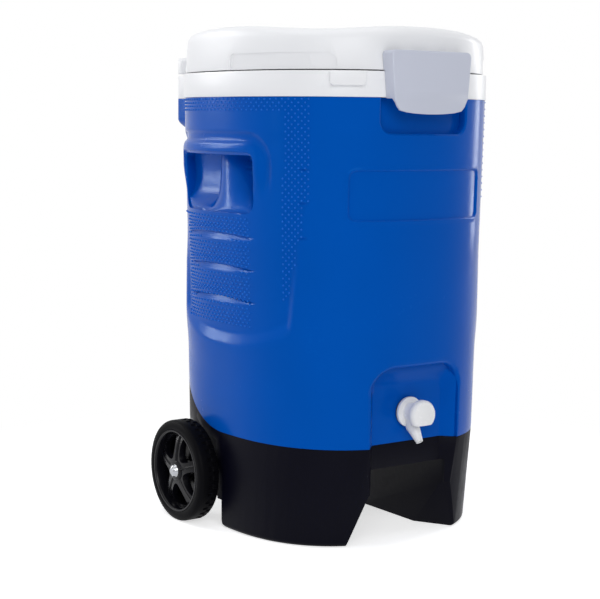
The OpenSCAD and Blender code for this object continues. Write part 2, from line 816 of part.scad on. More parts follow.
module latch() color(grey) {
    difference() {
        union() {
            intersection() {
                along_y(-far, flank_back) latch_outline(0);
                along_x(-far, far) polygon([
                    [-latch_reach, latch_top], [flank_back, latch_top],
                    [flank_back, latch_low + latch_lip + 2], [-latch_reach + 2 * latch_wall, latch_low],
                    [-latch_reach + latch_wall, latch_low], [-latch_reach, latch_low + latch_lip]
                ]);
            }
        }
        intersection() {
            along_y(-far, 0) latch_outline(latch_wall);
            along_x(-far, far) polygon([
                [-latch_reach + latch_wall, latch_top - latch_wall], [0, latch_top - latch_wall],
                [0, -far], [-latch_reach + 2 * latch_wall, latch_low - past],
                [-latch_reach + 2 * latch_wall, latch_low],
                [-latch_reach + latch_wall, latch_low + latch_lip]
            ]);
        }
        // The top wall stops short of the lid
        translate([-latch_w / 2 + latch_wall, latch_pin_y - latch_lug_d / 2 - seat,
            latch_top - latch_wall - past])
            cube([latch_w - 2 * latch_wall, far, latch_wall + 2 * past]);
    }
    for (b = latch_bosses) difference() {
        translate([b[0], latch_pin_y, latch_pin_z]) union() {
            rotate([0, 90, 0]) cylinder(d = latch_lug_d, h = b[1] - b[0]);
            translate([0, -latch_reach - latch_pin_y + latch_wall / 2, -latch_lug_d / 2])
                cube([b[1] - b[0], latch_reach + latch_pin_y - latch_wall / 2, latch_lug_d]);
        }
        translate([0, latch_pin_y, latch_pin_z])
            bar_x(latch_pin_d + 2 * turn, -latch_w / 2, latch_w / 2);
    }
    translate([-catch_w / 2, -latch_reach + latch_wall / 2, catch_z - hook_gap - hook_t])
        cube([catch_w, latch_reach - latch_wall / 2 - collar_hd - catch_proud - seat, hook_t]);
}
module latch_pin() color(steel) {
    translate([0, latch_pin_y, latch_pin_z])
        bar_x(latch_pin_d, latch_bosses[0][0] + 1, latch_bosses[3][1] - 1);
}

// ---- base -------------------------------------------------------------------------------

leg_wall = 4;
leg_floor = 3;
tunnel_hw = tunnel_w / 2;
under_z = 34;
under_back_z = 96;
bearing_d = 26;
bearing_l = 30;
base_top_gap = seat;
axle_z = wheel_d / 2;
side_x = foot_hw_at(axle_z);
hub_x = side_x + wheel_gap;
leg_r = 10;
module leg_space() {
    intersection() {
        both_sides() along_x(tunnel_hw + leg_wall, far) polygon(plate(
            -far, leg_floor, leg_back - leg_wall, far, leg_r - leg_wall, 1));
        foot(base_wall, leg_floor - past, base_h + past);
    }
}
module base_cavity() {
    difference() {
        union() {
            foot(base_wall, -past, base_h);
            drum(base_wall, base_h - past, base_h + base_rise + past);
            column(base_wall, -past, base_h + base_rise + past);
        }
        along_x(-far, far) polygon(concat(
            [[-far, far * 2], [-far, base_h - base_top_gap - base_wall]],
            [for (p = climb) [p.x, p.y - base_top_gap - base_wall]],
            [[far, base_h + base_rise - base_top_gap - base_wall], [far, far * 2]]
        ));
        // The two legs, and the alcove's wall
        both_sides() translate([tunnel_hw, -far, -far]) cube([far, far + leg_back, 2 * far]);
        alcove(base_wall);
        wheel_well(base_wall);
        for (side = [-1, 1]) at_tube(side) cylinder(d = guide_d + 2 * base_wall, h = 2 * far);
        at_base_screws() translate([0, 0, -2 * base_wall]) cylinder(d = boss_d, h = 2 * base_wall);
    }
}
module axle_bearings() {
    both_sides() {
        translate([0, axle_y, axle_z])
            bar_x(bearing_d, well_x - bearing_l, hub_x - 2 * seat - washer_t);
        translate([well_x - bearing_l, axle_y - bearing_d / 2, axle_z])
            cube([base_wall, bearing_d, part_z(axle_y) - axle_z - base_wall]);
    }
}
module undercut() {
    along_x(-far, far) polygon(concat(
        [[leg_back - leg_r, -far]], corner(leg_back - leg_r, leg_r, leg_r, -90),
        [[leg_back, under_z], [axle_y + bearing_d, under_z], [drum_hd, under_back_z],
        [far, under_back_z], [far, -far]]
    ));
}
// The front inner corner of each leg is cut away by a sloping plane
toe_h = 62;
toe_turn = 31;
toe_lean = 23;
module toe_cut(grow) {
    both_sides() intersection() {
        translate([tunnel_hw, alcove_y, toe_h]) rotate([0, toe_lean, 180 + toe_turn])
            translate([-grow, -far, -far]) cube([far, 2 * far, 2 * far]);
        translate([tunnel_hw - past, -far, -past]) cube([far, far, toe_h + 4 * grow + past]);
    }
}
// Flat on each side that the wheel stands beside
well_x = 153;
well_drop = 13;
module wheel_well(grow) {
    both_sides() along_x(well_x - grow, far) polygon(concat(
        [[leg_back - grow, -far]],
        [for (k = [0 : climb_steps]) if (climb[k].x > leg_back) [climb[k].x, climb[k].y - well_drop + grow]],
        [[far, base_h + base_rise - well_drop + grow], [far, -far]]
    ));
}
module base() color(black) {
    difference() {
        union() {
            difference() {
                union() {
                    foot_outside(base_h + past);
                    drum(0, base_h, base_h + base_rise + past);
                    column(0, under_back_z - past, base_h + base_rise);
                }
                base_cavity();
                leg_hollow();
            }
            axle_bearings();
        }
        difference() {
            translate([-far, -far, 0]) cube([2 * far, 2 * far, 2 * far]);
            below_parting(-base_top_gap);
        }
        alcove(0);
        translate([-tunnel_hw, -far, -past]) cube([tunnel_w, far + leg_back, tunnel_h + past]);
        toe_cut(0);
        difference() {
            wheel_well(0);
            axle_bearings();
        }
        undercut();
        translate([0, axle_y, axle_z]) bar_x(axle_d + 2 * turn, -far, far);
        for (side = [-1, 1]) at_tube(side) translate([0, 0, guide_foot])
            cylinder(d = guide_d + 2 * slide, h = far);
        at_base_screws() translate([0, 0, -2 * base_h])
            cylinder(d = base_screw_d + 2 * slide, h = 3 * base_h);
        for (p = base_screw_at) both_sides() translate([p.x, p.y, -past])
            cylinder(d = access_d, h = leg_floor + 2 * past);
    }
}
module leg_hollow() {
    difference() {
        leg_space();
        along_x(-far, far) polygon([[-far, base_h - base_top_gap - base_wall],
            [far, base_h - base_top_gap - base_wall], [far, far], [-far, far]]);
        alcove(base_wall);
        toe_cut(base_wall);
        at_base_screws() translate([0, 0, -2 * base_wall]) cylinder(d = boss_d, h = 2 * base_wall);
    }
}
module base_screws() color(steel) {
    at_base_screws() translate([0, 0, -base_top_gap - 2 * base_wall]) {
        translate([0, 0, -2.6]) cylinder(d = base_screw_head, h = 2.6);
        cylinder(d = base_screw_d - 2 * slide, h = 2 * base_wall + boss_h - 2);
    }
}

// ---- wheels -----------------------------------------------------------------------------

axle_cap_d = 17;
axle_cap_t = 7;
washer_d = 22;
washer_t = 1.6;
hub_d = 28;
hub_back = 1;
rim_lip = 5;
spoke_t = 9;
wheel_x0 = hub_x;
wheel_x1 = hub_x + wheel_w;
module round_x() { rotate([0, 90, 0]) rotate_extrude($fn = 96) children(); }
// A wheel stands outboard of the right side; the left one is its mirror image
module at_wheel(side) {
    mirror([side < 0 ? 1 : 0, 0, 0]) translate([wheel_x0, axle_y, axle_z]) children();
}
module rim(side) color(black) {
    rim_r = rim_d / 2 - seat;
    at_wheel(side) difference() {
        union() {
            round_x() polygon([
                [rim_r - rim_lip, hub_back], [rim_r, hub_back], [rim_r, wheel_w - 1],
                [rim_r - 2, wheel_w], [rim_r - rim_lip, wheel_w - 3]
            ]);
            round_x() polygon([
                [axle_d / 2 + turn, 0], [hub_d / 2, 0], [hub_d / 2, wheel_w - 6],
                [hub_d / 2 - 4, wheel_w - 3], [axle_d / 2 + turn, wheel_w - 3]
            ]);
            for (k = [0 : spokes - 1]) rotate([360 * k / spokes, 0, 0])
                translate([wheel_w - 4 - spoke_t, 0, 0]) rotate([90, 0, 90])
                    linear_extrude(spoke_t) polygon([
                        [-8, hub_d / 2 - 3], [-5, (hub_d + rim_d) / 4], [-10, rim_r - rim_lip + 1],
                        [10, rim_r - rim_lip + 1], [5, (hub_d + rim_d) / 4], [8, hub_d / 2 - 3]
                    ]);
        }
        bar_x(axle_d + 2 * turn, -past, wheel_w + past);
    }
}
module tyre(side) color(rubber) {
    tyre_r = wheel_d / 2;
    at_wheel(side) round_x() polygon([
        [rim_d / 2, 0], [tyre_r - 5, 0], [tyre_r - 1.5, 2], [tyre_r, 5.5], [tyre_r, wheel_w - 5.5],
        [tyre_r - 1.5, wheel_w - 2], [tyre_r - 5, wheel_w], [rim_d / 2, wheel_w]
    ]);
}
module rim_left() rim(-1);
module rim_right() rim(1);
module tyre_left() tyre(-1);
module tyre_right() tyre(1);
axle_end = wheel_x1 - 3 + seat + axle_cap_t - 2;
module axle() color(steel) {
    translate([0, axle_y, axle_z]) bar_x(axle_d, -axle_end, axle_end);
}
module axle_cap(side) color(chrome) {
    at_wheel(side) translate([wheel_w - 3 + seat, 0, 0]) difference() {
        union() {
            round_x() polygon([[0, 0], [axle_cap_d / 2, 0], [axle_cap_d / 2, 2],
                [axle_cap_d / 2 - 2, axle_cap_t - 1.5], [axle_cap_d / 2 - 4.5, axle_cap_t],
                [0, axle_cap_t]]);
        }
        bar_x(axle_d, -past, axle_cap_t - 2);
    }
}
module axle_cap_left() axle_cap(-1);
module axle_cap_right() axle_cap(1);
module axle_washers() color(steel) {
    both_sides() translate([hub_x - seat - washer_t, axle_y, axle_z]) difference() {
        bar_x(washer_d, 0, washer_t);
        bar_x(axle_d + 2 * turn, -past, washer_t + past);
    }
}

// ---- tow handle -------------------------------------------------------------------------

glide_h = 16;
tube_foot = guide_foot + 6;
grip_roof = 5;
tube_top = grip_z + grip_h - grip_roof;
bush_low = tube_foot + glide_h + handle_travel + seat;
grip_screw_z = grip_z + grip_h / 2;
grip_screw_d = 4;
grip_screw_head = 7.4;
grip_screw_l = 15;
grip_d = 19;
grip_edge = 2;
grip_corner = 9;
grip_front = back_reach - grip_d;
module guide_tube(side) color(steel) {
    at_tube(side) translate([0, 0, guide_foot + seat]) difference() {
        cylinder(d = guide_d, h = collar_top - guide_foot - seat);
        translate([0, 0, -past]) cylinder(d = guide_bore, h = far * 3);
    }
}
module handle_tube(side) color(steel) {
    at_tube(side) difference() {
        translate([0, 0, tube_foot]) cylinder(d = tube_d, h = tube_top - tube_foot);
        translate([0, 0, tube_foot - past])
            cylinder(d = tube_d - 2 * tube_wall, h = tube_top - tube_foot + 2 * past);
        translate([0, 0, grip_screw_z]) bar_y(grip_screw_d + 2 * slide, 0, tube_d);
    }
}
module handle_bush(side) color(black) {
    at_tube(side) difference() {
        union() {
            translate([0, 0, bush_low])
                cylinder(d = guide_bore - 2 * slide, h = collar_top + seat - bush_low + past);
            translate([0, 0, collar_top + seat]) cylinder(d = guide_d + 4, h = bush_flange);
        }
        translate([0, 0, bush_low - past]) cylinder(d = tube_d + 2 * slide, h = far);
    }
}
module glide(side) color(white) {
    at_tube(side) difference() {
        translate([0, 0, tube_foot - 3]) cylinder(d = guide_bore - 2 * slide, h = glide_h + 3);
        translate([0, 0, tube_foot]) cylinder(d = tube_d, h = glide_h + past);
    }
}
module guide_tube_left() guide_tube(-1);
module guide_tube_right() guide_tube(1);
module handle_tube_left() handle_tube(-1);
module handle_tube_right() handle_tube(1);
module handle_bush_left() handle_bush(-1);
module handle_bush_right() handle_bush(1);
module glide_left() glide(-1);
module glide_right() glide(1);
grip_bar_h = 14;
grip_arch_w = 96;
module handle_grip() color(white) {
    difference() {
        intersection() {
            along_y(grip_front, back_reach) polygon(plate(
                -housing_w / 2, grip_z, housing_w / 2, grip_z + grip_h, grip_edge, grip_corner));
            translate([0, 0, grip_z - past]) linear_extrude(grip_h + 2 * past)
                polygon(plate(
                    -housing_w / 2, grip_front, housing_w / 2, back_reach, 2 * grip_edge, housing_r));
            along_x(-far, far) polygon(plate(
                grip_front, grip_z, back_reach, grip_z + grip_h, grip_edge, grip_corner - grip_edge));
        }
        translate([-grip_arch_w / 2, grip_front - past, grip_z - past])
            cube([grip_arch_w, far, grip_h - grip_bar_h + past]);
        for (side = [-1, 1]) at_tube(side) {
            translate([0, 0, grip_z - past]) cylinder(d = tube_d, h = tube_top - grip_z + past);
            translate([0, 0, grip_screw_z]) bar_y(grip_screw_d + 2 * slide, 0, tube_d);
            translate([0, 0, grip_screw_z]) bar_y(grip_screw_head + 2 * slide, screw_seat, far / 4);
        }
    }
}
screw_seat = back_reach - tube_y - 2.6;
module grip_screws() color(steel) {
    for (side = [-1, 1]) at_tube(side) translate([0, 0, grip_screw_z]) {
        bar_y(grip_screw_head, screw_seat, screw_seat + 2);
        bar_y(grip_screw_d, screw_seat - grip_screw_l / 2 + 1, screw_seat + 1);
    }
}

// ---- spigot -----------------------------------------------------------------------------

seal_t = 3;
spigot_flange_t = 3.5;
flange_face = alcove_y - seal_t - spigot_flange_t;
housing_front = flange_face - 13;
housing_d = 23;
button_back = housing_front - button_travel - seat;
spigot_bore = 13;
tank_in = -tank_hd + tank_taper;
inner_seal_t = 2.5;
nut_t = 9;
nut_d = 34;
barrel_end = tank_in + inner_seal_t + nut_t + 5;
stem_d = 5;
valve_d = 18;
valve_t = 3;
guide_web = 2.5;
spout_y = flange_face - 4.7;
spout_knee = 16;
spout_lean = 39;
spout_nose = 4;
module at_spigot() { translate([0, 0, spigot_z]) children(); }
// The spout drops from the valve housing, then leans out under the button
module spout(d) {
    length = (spigot_z - spout_knee - spout_tip - spout_nose) / cos(spout_lean);
    translate([0, spout_y, spigot_z - spout_knee]) {
        cylinder(d = d, h = spout_knee - stem_d - past);
        sphere(d = d);
        rotate([180 - spout_lean, 0, 0]) cylinder(d1 = d, d2 = d - 2 * spout_nose, h = length + spout_nose);
    }
}
module spout_bore() {
    bore = spout_d - 2 * spout_nose - 4;
    translate([0, spout_y, spigot_z - spout_knee]) {
        cylinder(d = bore, h = spout_knee);
        sphere(d = bore);
        rotate([180 - spout_lean, 0, 0]) cylinder(d = bore, h = spigot_z);
    }
}
module spigot_body() color(white) {
    difference() {
        union() {
            at_spigot() bar_y(flange_d, flange_face, flange_face + spigot_flange_t);
            at_spigot() bar_y(barrel_d, flange_face, barrel_end);
            at_spigot() bar_y(housing_d, housing_front, flange_face + past);
            spout(spout_d);
        }
        at_spigot() bar_y(spigot_bore, housing_front + guide_web, barrel_end + past);
        at_spigot() bar_y(stem_d + 2 * slide, housing_front - past, flange_face);
        difference() {
            spout_bore();
            at_spigot() bar_y(housing_d, housing_front - past, housing_front + guide_web);
        }
    }
}
module washer_y(d, bore, y0, y1) {
    at_spigot() difference() {
        bar_y(d, y0, y1);
        bar_y(bore, y0 - past, y1 + past);
    }
}
module spigot_outer_seal() color(rubber)
    washer_y(flange_d - 2, barrel_d + 2 * slide, alcove_y - seal_t + slide, alcove_y - slide);
module spigot_inner_seal() color(rubber)
    washer_y(nut_d - 2, barrel_d + 2 * slide, tank_in + slide, tank_in + inner_seal_t - slide);
module spigot_nut() color(white) {
    nut_y = tank_in + inner_seal_t + slide;
    at_spigot() difference() {
        translate([0, nut_y, 0]) rotate([-90, 0, 0]) cylinder(d = nut_d, h = nut_t, $fn = 6);
        bar_y(barrel_d + 2 * slide, nut_y - past, nut_y + nut_t + past);
    }
}
button_flat = 12;
button_dome = 3;
module spigot_button() color(white) {
    at_spigot() difference() {
        rotate([90, 0, 0]) translate([0, 0, -button_back]) rotate_extrude() polygon([
            [0, 0], [button_d / 2, 0], [button_d / 2, button_t - 2 * button_dome],
            [button_d / 2 - 2, button_t - button_dome], [button_d / 4, button_t - button_dome / 3],
            [0, button_t]
        ]);
        translate([-button_d, button_back - 2 * button_t, -button_d - button_flat])
            cube([2 * button_d, 3 * button_t, button_d]);
        bar_y(stem_d, button_back - button_t / 2, button_back + past);
    }
}
module spigot_stem() color(steel) {
    at_spigot() bar_y(stem_d, button_back - button_t / 2 + slide, barrel_end + valve_t + 1);
}
module spigot_valve() color(rubber) {
    at_spigot() difference() {
        bar_y(valve_d, barrel_end + slide, barrel_end + valve_t);
        bar_y(stem_d, barrel_end - past, barrel_end + valve_t + past);
    }
}
spring_d = 9.5;
spring_wire = 1.1;
spring_turns = 2.5;
spring_sides = 6;
spring_steps = 12;
function spring_point(t, q) =
    let (a = 360 * t, r = spring_d / 2 + spring_wire / 2 * cos(q),
        room = button_travel + seat - spring_wire - 2 * slide)
        [r * cos(a), button_back + spring_wire / 2 + slide + room * t / spring_turns
            + spring_wire / 2 * sin(q), r * sin(a)];
module spigot_spring() color(steel) {
    total = round(spring_turns * spring_steps);
    at_spigot() loft([for (i = [0 : total])
        [for (k = [0 : spring_sides - 1]) spring_point(i / spring_steps, 360 * k / spring_sides)]]);
}

outer_shell();
foam_core();
tank_liner();
collar();
base();
base_screws();
lid_top();
lid_underside();
lid_foam();
lid_gasket();
hinge_pin_left();
hinge_pin_right();
latch();
latch_pin();
guide_tube_left();
guide_tube_right();
handle_tube_left();
handle_tube_right();
handle_bush_left();
handle_bush_right();
glide_left();
glide_right();
handle_grip();
grip_screws();
axle();
rim_left();
rim_right();
tyre_left();
tyre_right();
axle_cap_left();
axle_cap_right();
axle_washers();
spigot_body();
spigot_outer_seal();
spigot_inner_seal();
spigot_nut();
spigot_button();
spigot_stem();
spigot_valve();
spigot_spring();
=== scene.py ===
"""Looks of an upright insulated drink cooler on wheels, built round its fixed frame."""

import json
import logging
import math
from dataclasses import dataclass, field
from enum import Enum, IntEnum
from typing import Callable, Sequence

import bpy
import numpy as np
from mathutils import Matrix, Vector


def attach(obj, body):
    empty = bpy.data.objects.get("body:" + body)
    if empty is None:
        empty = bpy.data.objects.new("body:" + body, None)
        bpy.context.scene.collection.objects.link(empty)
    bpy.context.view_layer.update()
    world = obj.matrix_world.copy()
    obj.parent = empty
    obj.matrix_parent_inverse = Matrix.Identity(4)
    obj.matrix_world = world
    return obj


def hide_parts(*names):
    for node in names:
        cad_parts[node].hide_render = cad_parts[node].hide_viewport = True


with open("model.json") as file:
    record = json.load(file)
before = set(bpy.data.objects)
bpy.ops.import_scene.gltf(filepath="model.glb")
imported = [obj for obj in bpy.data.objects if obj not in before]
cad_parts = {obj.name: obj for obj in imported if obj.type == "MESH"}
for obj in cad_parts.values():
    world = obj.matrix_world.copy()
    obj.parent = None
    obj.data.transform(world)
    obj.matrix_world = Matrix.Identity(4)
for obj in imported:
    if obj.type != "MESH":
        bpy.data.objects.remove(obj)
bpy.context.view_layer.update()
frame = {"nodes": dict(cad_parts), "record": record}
MM = 0.001
TURN = 2 * math.pi
WELD = 2e-6
WELD_RINGS = 1e-5
ROUND_STEPS = 8
MIRROR = Matrix.Scale(-1, 4, (1, 0, 0))
WHITE = (1.0, 1.0, 1.0, 1.0)
Obj = bpy.types.Object
Array = np.ndarray
log = logging.getLogger("cooler")


class Axis(IntEnum):
    """An axis, as its place in a point."""

    X = 0
    Y = 1
    Z = 2


class How(Enum):
    """What other solids do to a piece."""

    CUT = "DIFFERENCE"
    ADD = "UNION"
    KEEP = "INTERSECT"


# ---- numbers on arrays ------------------------------------------------------------------


def ease(t: Array) -> Array:
    """Smooth ramp from 0 to 1 as t goes from 0 to 1."""
    t = np.clip(t, 0.0, 1.0)
    return t * t * (3 - 2 * t)


def rise(x: Array, at: float | Array, width: float) -> Array:
    """Smooth step from 0 to 1, centred on at.

    Args:
        x: Places, in millimetres.
        at: Middle of the step.
        width: How wide the step is.

    Returns:
        The step's height at each place.
    """
    return ease((x - at) / width + 0.5)


def bump(x: Array, at: float, half: float) -> Array:
    """Smooth hump of height 1 that is centred on at and ends half away from it."""
    return ease(1 - np.abs(x - at) / half)


def to_plate(y: Array, z: Array, low: tuple, high: tuple, r: float) -> Array:
    """Signed distance to a rounded rectangle, negative inside it.

    Args:
        y: First coordinate of each place, in millimetres.
        z: Second coordinate.
        low: Lowest corner.
        high: Highest corner.
        r: Corner radius.

    Returns:
        The distance of each place.
    """
    my, mz = (low[0] + high[0]) / 2, (low[1] + high[1]) / 2
    qy = np.abs(y - my) - (high[0] - low[0]) / 2 + r
    qz = np.abs(z - mz) - (high[1] - low[1]) / 2 + r
    return np.hypot(np.maximum(qy, 0), np.maximum(qz, 0)) + np.minimum(np.maximum(qy, qz), 0) - r


def spread(*spans: tuple) -> Array:
    """Places along a line, with their own spacing in each span.

    Args:
        spans: Each is (from, to, about how far apart).

    Returns:
        The places, each once and in order.
    """
    out: list[float] = []
    for a, b, gap in spans:
        out += list(np.linspace(a, b, max(1, round(abs(b - a) / gap)) + 1))
    places = np.array(sorted(out))
    return places[np.concatenate([[True], np.diff(places) > 1e-6])]


# ---- workbench --------------------------------------------------------------------------


class Bench:
    """Modelling operators, each used on one piece at a time."""

    @staticmethod
    def clear() -> None:
        """Leaves edit mode with nothing selected."""
        if bpy.context.object and bpy.context.object.mode != "OBJECT":
            bpy.ops.object.mode_set(mode="OBJECT")
        bpy.ops.object.select_all(action="DESELECT")

    @staticmethod
    def pick(obj: Obj) -> Obj:
        """Makes obj the one selected and active object."""
        Bench.clear()
        obj.select_set(True)
        bpy.context.view_layer.objects.active = obj
        return obj

    @staticmethod
    def shape(obj: Obj, points: Sequence, name: str) -> Obj:
        """Names obj and puts its vertices at points, in millimetres."""
        obj.name = obj.data.name = name
        obj.data.vertices.foreach_set("co", (np.array(points) * MM).astype(np.float32).ravel())
        return obj

    @staticmethod
    def sheet(name: str, rings: Sequence, caps: bool = True) -> Obj:
        """Wraps a grid round a stack of closed rings.

        Args:
            name: Name of the piece.
            rings: Points as [ring, place on the ring, xyz], in millimetres.
            caps: Whether the first and last ring get a face.

        Returns:
            The new object, with its faces outwards.
        """
        table = np.array(rings)
        table = np.concatenate([table, table[:, :1]], axis=1)
        rows, cols = table.shape[:2]
        Bench.clear()
        bpy.ops.mesh.primitive_grid_add(x_subdivisions=cols - 1, y_subdivisions=rows - 1, size=1)
        obj = Bench.shape(bpy.context.object, table, name)
        Bench.edit(obj, "VERT")
        bpy.ops.mesh.remove_doubles(threshold=WELD_RINGS)
        if caps:
            bpy.ops.mesh.select_all(action="DESELECT")
            bpy.ops.mesh.select_non_manifold(extend=False, use_wire=False, use_multi_face=False,
                                             use_non_contiguous=False, use_verts=False)
            bpy.ops.mesh.fill_holes(sides=0)
        Bench.outward(obj)
        return obj

    @staticmethod
    def edit(obj: Obj, kind: str, action: str = "SELECT") -> None:
        """Opens obj in edit mode for one kind of element, with all of them selected or none."""
        Bench.pick(obj)
        bpy.ops.object.mode_set(mode="EDIT")
        bpy.ops.mesh.select_mode(type=kind)
        bpy.ops.mesh.select_all(action=action)

    @staticmethod
    def outward(obj: Obj) -> None:
        """Turns all faces outwards and leaves edit mode."""
        Bench.edit(obj, "FACE")
        bpy.ops.mesh.normals_make_consistent(inside=False)
        bpy.ops.object.mode_set(mode="OBJECT")

    @staticmethod
    def loop(name: str, points: Sequence) -> Obj:
        """A closed line through points, in millimetres."""
        Bench.clear()
        bpy.ops.mesh.primitive_circle_add(vertices=len(points), radius=MM, fill_type="NOTHING")
        return Bench.shape(bpy.context.object, points, name)

    @staticmethod
    def slab(name: str, points: Sequence, by: Sequence) -> Obj:
        """A flat outline drawn out to a solid.

        Args:
            name: Name of the piece.
            points: The outline's corners, in millimetres.
            by: How far and which way it is drawn out.

        Returns:
            The solid.
        """
        obj = Bench.loop(name, points)
        Bench.edit(obj, "VERT")
        bpy.ops.mesh.edge_face_add()
        bpy.ops.mesh.extrude_region_move(TRANSFORM_OT_translate={"value": Vector(by) * MM})
        Bench.outward(obj)
        return obj

    @staticmethod
    def lathe(name: str, profile: Sequence, centre: Sequence, axis: Axis, steps: int,
              close: bool = True) -> Obj:
        """Spins a profile round an axis.

        Args:
            name: Name of the piece.
            profile: (radius, place along the axis) pairs, in millimetres.
            centre: A point on the axis.
            axis: Which way the axis points.
            steps: How many steps a turn has.
            close: Whether the profile's last point joins its first.

        Returns:
            The turned piece.
        """
        along = Vector([float(axis is way) for way in Axis])
        out = Vector((1, 0, 0)) if axis is Axis.Z else Vector((0, 0, 1))
        mid = Vector(centre)
        obj = Bench.loop(name, [mid + out * r + along * t for r, t in profile])
        Bench.edit(obj, "EDGE", "DESELECT")
        if not close:
            bpy.ops.object.mode_set(mode="OBJECT")
            ends = {0, len(profile) - 1}
            for edge in obj.data.edges:
                edge.select = set(edge.vertices) == ends
            bpy.ops.object.mode_set(mode="EDIT")
            bpy.ops.mesh.delete(type="EDGE_FACE")
        bpy.ops.mesh.select_all(action="SELECT")
        bpy.ops.mesh.spin(steps=steps, angle=TURN, center=mid * MM, axis=along)
        bpy.ops.mesh.select_all(action="SELECT")
        bpy.ops.mesh.remove_doubles(threshold=WELD)
        Bench.outward(obj)
        return obj

    @staticmethod
    def box(name: str, low: Sequence, high: Sequence) -> Obj:
        """A block between two corners, in millimetres."""
        (x0, y0, z0), (x1, y1, z1) = low, high
        return Bench.slab(name, [(x0, y0, z0), (x1, y0, z0), (x1, y1, z0), (x0, y1, z0)], (0, 0, z1 - z0))

    @staticmethod
    def modify(obj: Obj, kind: str, **settings: object) -> None:
        """Adds a modifier with its settings and applies it."""
        Bench.pick(obj)
        made = obj.modifiers.new(kind.title(), kind)
        for key, value in settings.items():
            setattr(made, key, value)
        bpy.ops.object.modifier_apply(modifier=made.name)

    @staticmethod
    def combine(obj: Obj, others: Sequence, how: How) -> Obj:
        """Cuts with, adds or keeps what is common with other solids, which are used up.

        Args:
            obj: The piece that stays.
            others: The solids that work on it.
            how: What they do to it.

        Returns:
            The piece.
        """
        for other in others:
            Bench.modify(obj, "BOOLEAN", operation=how.value, object=other, solver="MANIFOLD")
            bpy.data.objects.remove(other)
        return obj

    @staticmethod
    def soften(obj: Obj, width: float, segments: int = 2, angle: float = 50) -> None:
        """Rounds the edges that turn more than angle degrees by width, in millimetres."""
        Bench.modify(obj, "BEVEL", width=width * MM, segments=segments, limit_method="ANGLE",
                     angle_limit=math.radians(angle), use_clamp_overlap=True)

    @staticmethod
    def smooth(obj: Obj, angle: float) -> Obj:
        """Shades obj smoothly across edges that turn less than angle degrees."""
        Bench.pick(obj)
        bpy.ops.object.shade_smooth_by_angle(angle=math.radians(angle))
        return obj

    @staticmethod
    def join(obj: Obj, others: Sequence) -> Obj:
        """Makes others a part of obj."""
        Bench.pick(obj)
        for other in others:
            other.select_set(True)
        bpy.ops.object.join()
        return obj

    @staticmethod
    def twin(obj: Obj, name: str, matrix: Matrix) -> Obj:
        """A copy of obj with its own mesh, moved by matrix; a mirrored one is turned right again."""
        made = obj.copy()
        made.data = obj.data.copy()
        made.name = made.data.name = name
        bpy.context.scene.collection.objects.link(made)
        made.data.transform(matrix)
        if matrix.determinant() < 0:
            made.data.flip_normals()
        return made

    @staticmethod
    def from_node(node: str, name: str) -> Obj:
        """A merged copy of a fixed node's mesh, as a start for a softer piece."""
        made = Bench.twin(frame["nodes"][node], name, Matrix.Identity(4))
        made.parent = None
        for key in list(made.keys()):
            if key.startswith("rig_"):
                del made[key]
        made.data.materials.clear()
        Bench.edit(made, "VERT")
        bpy.ops.mesh.remove_doubles(threshold=WELD)
        bpy.ops.mesh.dissolve_limited(angle_limit=math.radians(1.0))
        bpy.ops.object.mode_set(mode="OBJECT")
        if made.data.has_custom_normals:
            Bench.pick(made)
            bpy.ops.mesh.customdata_custom_splitnormals_clear()
        return made


def corner(x: float, y: float, r: float, start: float, steps: int = ROUND_STEPS) -> list:
    """Points of a quarter round, from the angle start in degrees."""
    turns = [math.radians(start + 90 * i / steps) for i in range(steps + 1)]
    return [(x + r * math.cos(a), y + r * math.sin(a)) for a in turns]


def plate(x0: float, y0: float, x1: float, y1: float, low_r: float, high_r: float,
          steps: int = ROUND_STEPS) -> list:
    """Outline of a rounded rectangle; its lower corners take low_r and its upper ones high_r."""
    return (corner(x1 - low_r, y0 + low_r, low_r, -90, steps)
            + corner(x1 - high_r, y1 - high_r, high_r, 0, steps)
            + corner(x0 + high_r, y1 - high_r, high_r, 90, steps)
            + corner(x0 + low_r, y0 + low_r, low_r, 180, steps))


def in_plane(points: Sequence, axis: Axis, at: float) -> Array:
    """Puts a flat outline in the plane across axis at a distance along it."""
    return np.insert(np.array(points, float), axis, at, axis=1)


# ---- shader sheets ----------------------------------------------------------------------


class Signal:
    """What comes out of a shader node; sums on it add the Math nodes they need."""

    def __init__(self, sheet: "Sheet", socket: bpy.types.NodeSocket) -> None:
        """Keeps the sheet and the socket."""
        self.sheet = sheet
        self.socket = socket

    def out(self, name: str | int) -> "Signal":
        """Another output of the same node."""
        return Signal(self.sheet, self.socket.node.outputs[name])

    def _sum(self, operation: str, *terms: object) -> "Signal":
        """One Math node with these terms."""
        return self.sheet.node("ShaderNodeMath", {"operation": operation}, dict(enumerate(terms)))

    def __add__(self, other: object) -> "Signal":
        """self + other."""
        return self._sum("ADD", self, other)

    __radd__ = __add__

    def __mul__(self, other: object) -> "Signal":
        """self * other."""
        return self._sum("MULTIPLY", self, other)

    __rmul__ = __mul__

    def __sub__(self, other: object) -> "Signal":
        """self - other."""
        return self._sum("SUBTRACT", self, other)

    def __rsub__(self, other: object) -> "Signal":
        """other - self."""
        return self._sum("SUBTRACT", other, self)

    def lowest(self, other: object) -> "Signal":
        """The smaller of the two."""
        return self._sum("MINIMUM", self, other)

    def ramp(self, low: float, high: float, to_low: float = 0.0, to_high: float = 1.0) -> "Signal":
        """Maps low..high smoothly to to_low..to_high."""
        return self.sheet.node(
            "ShaderNodeMapRange", {"interpolation_type": "SMOOTHSTEP"},
            {0: self, 1: low, 2: high, 3: to_low, 4: to_high})


